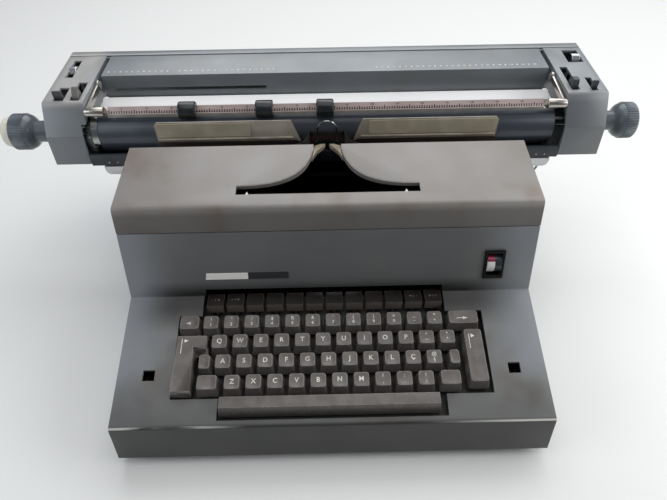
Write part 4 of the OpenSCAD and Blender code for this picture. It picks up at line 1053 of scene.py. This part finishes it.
flange = bmesh.new()
for side in (1, -1):
    loops = []
    for k in range(throat_steps + 1):
        t = throat_end * k / throat_steps
        edge = throat_edge(t)
        run_on = (throat_edge(t + tangent_step) - throat_edge(t - tangent_step)).normalized()
        inner = edge + Vector((-run_on.y, run_on.x)) * flange_t
        top = ridge_z + (edge.y - ridge_y) * cover_rise - flange_sunk
        loops.append([flange.verts.new((side * p.x, p.y, z)) for p, z in (
            (edge, top), (inner, top), (inner, top - flange_depth), (edge, top - flange_depth))])
    close_tube(flange, loops)
throat_flange = piece_of("throat_flange", flange, cover_enamel)
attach(throat_flange, "top_cover")


# The inked ribbon is a cotton tape 12.5 mm wide, black above and red below. It leaves each
# spool, turns over a post beside the throat and runs flat through the vibrator's fork.
ribbon_width, ribbon_t = 0.0125, 0.0002
thread_mm, twist_mm = 0.28, 0.0436


def ribbon_cloth():
    """Plain-woven cotton threads with a fine twist, soaked in ink that dries unevenly. A
    wave's band is pi / 10 wide at scale 1, and the ribbon's width is 1."""
    material, tree, place = new_material("inked_cotton_tape")
    laid = add(tree, "UVMap").outputs[0]
    split = add(tree, "SeparateXYZ", {0: laid})
    lower = add(tree, "Math", {0: split.outputs["Y"], 1: 0.5}, operation="LESS_THAN")
    tone = layered(tree, "#1d1817", (lower.outputs[0], "#35191a"),
                   (patches(tree, place, 6, 0.5, 0.8), "#2f2724"))
    weave = product(tree, *[add(tree, "TexWave", {
        "Vector": laid, "Scale": math.pi / 10 * ribbon_width * 1000 / size_mm},
        bands_direction=axis).outputs["Fac"] for axis, size_mm in (
            ("X", twist_mm), ("Y", thread_mm))])
    return finish_surface(material, tree, tone, 0.7, weave, 0.05)


def tape_shape(points, width, step=0.004, rows=7):
    """A tape along points (X, Y, Z of its lower edge), smoothed, with UVs along and across."""
    path = []
    for first, last in zip(points, points[1:]):
        steps = max(2, round((last - first).length / step))
        path += [first.lerp(last, k / steps) for k in range(steps)]
    path.append(points[-1])
    for smoothing in range(3):
        path = [path[0]] + [(a + 2 * b + c) / 4 for a, b, c in zip(path, path[1:], path[2:])] + [
            path[-1]]
    shape = bmesh.new()
    uv = shape.loops.layers.uv.new("UVMap")
    run, runs, grid = 0.0, [], []
    for k, spot in enumerate(path):
        run += (spot - path[k - 1]).length if k else 0
        runs.append(run)
        grid.append([shape.verts.new(spot + Vector((0, 0, width * r / (rows - 1))))
                     for r in range(rows)])
    for k in range(len(path) - 1):
        for r in range(rows - 1):
            corners = ((k, r), (k + 1, r), (k + 1, r + 1), (k, r + 1))
            face = shape.faces.new([grid[i][j] for i, j in corners])
            face.smooth = True
            for loop, (i, j) in zip(face.loops, corners):
                loop[uv].uv = (runs[i] / width, j / (rows - 1))
    return shape, run


ribbon_finish = ribbon_cloth()


def ribbon_run(name, points):
    """One stretch of the ribbon, given its thickness."""
    shape, length = tape_shape([Vector(p) for p in points], ribbon_width)
    tape = piece_of(name, shape, ribbon_finish)
    thicken = tape.modifiers.new("thickness", "SOLIDIFY")
    thicken.thickness = ribbon_t
    thicken.offset = 0
    return tape


spool_low, spool_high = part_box("ribbon_spool_right")
spool_middle = (spool_low + spool_high) / 2
wound_radius, wound_gap, spool_floor = 0.015, 0.001, 0.002
post, fork = Vector((0.0210, 0.0574, 0.1530)), Vector((0.0175, 0.0670, 0.1580))
for side, name in ((-1, "left"), (1, "right")):
    spool_exit = Vector((side * (spool_middle.x - wound_radius),
                         spool_middle.y + wound_radius + wound_gap, spool_low.z + spool_floor))
    over_post, at_fork = Vector(post), Vector(fork)
    over_post.x *= side
    at_fork.x *= side
    tape = ribbon_run("ribbon_" + name, (spool_exit, over_post, at_fork))
    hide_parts("ink_ribbon")
    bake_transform(tape)
middle_tape = ribbon_run("ribbon_middle", ((-fork.x, fork.y, fork.z), tuple(fork)))
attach(middle_tape, "ribbon_vibrator")
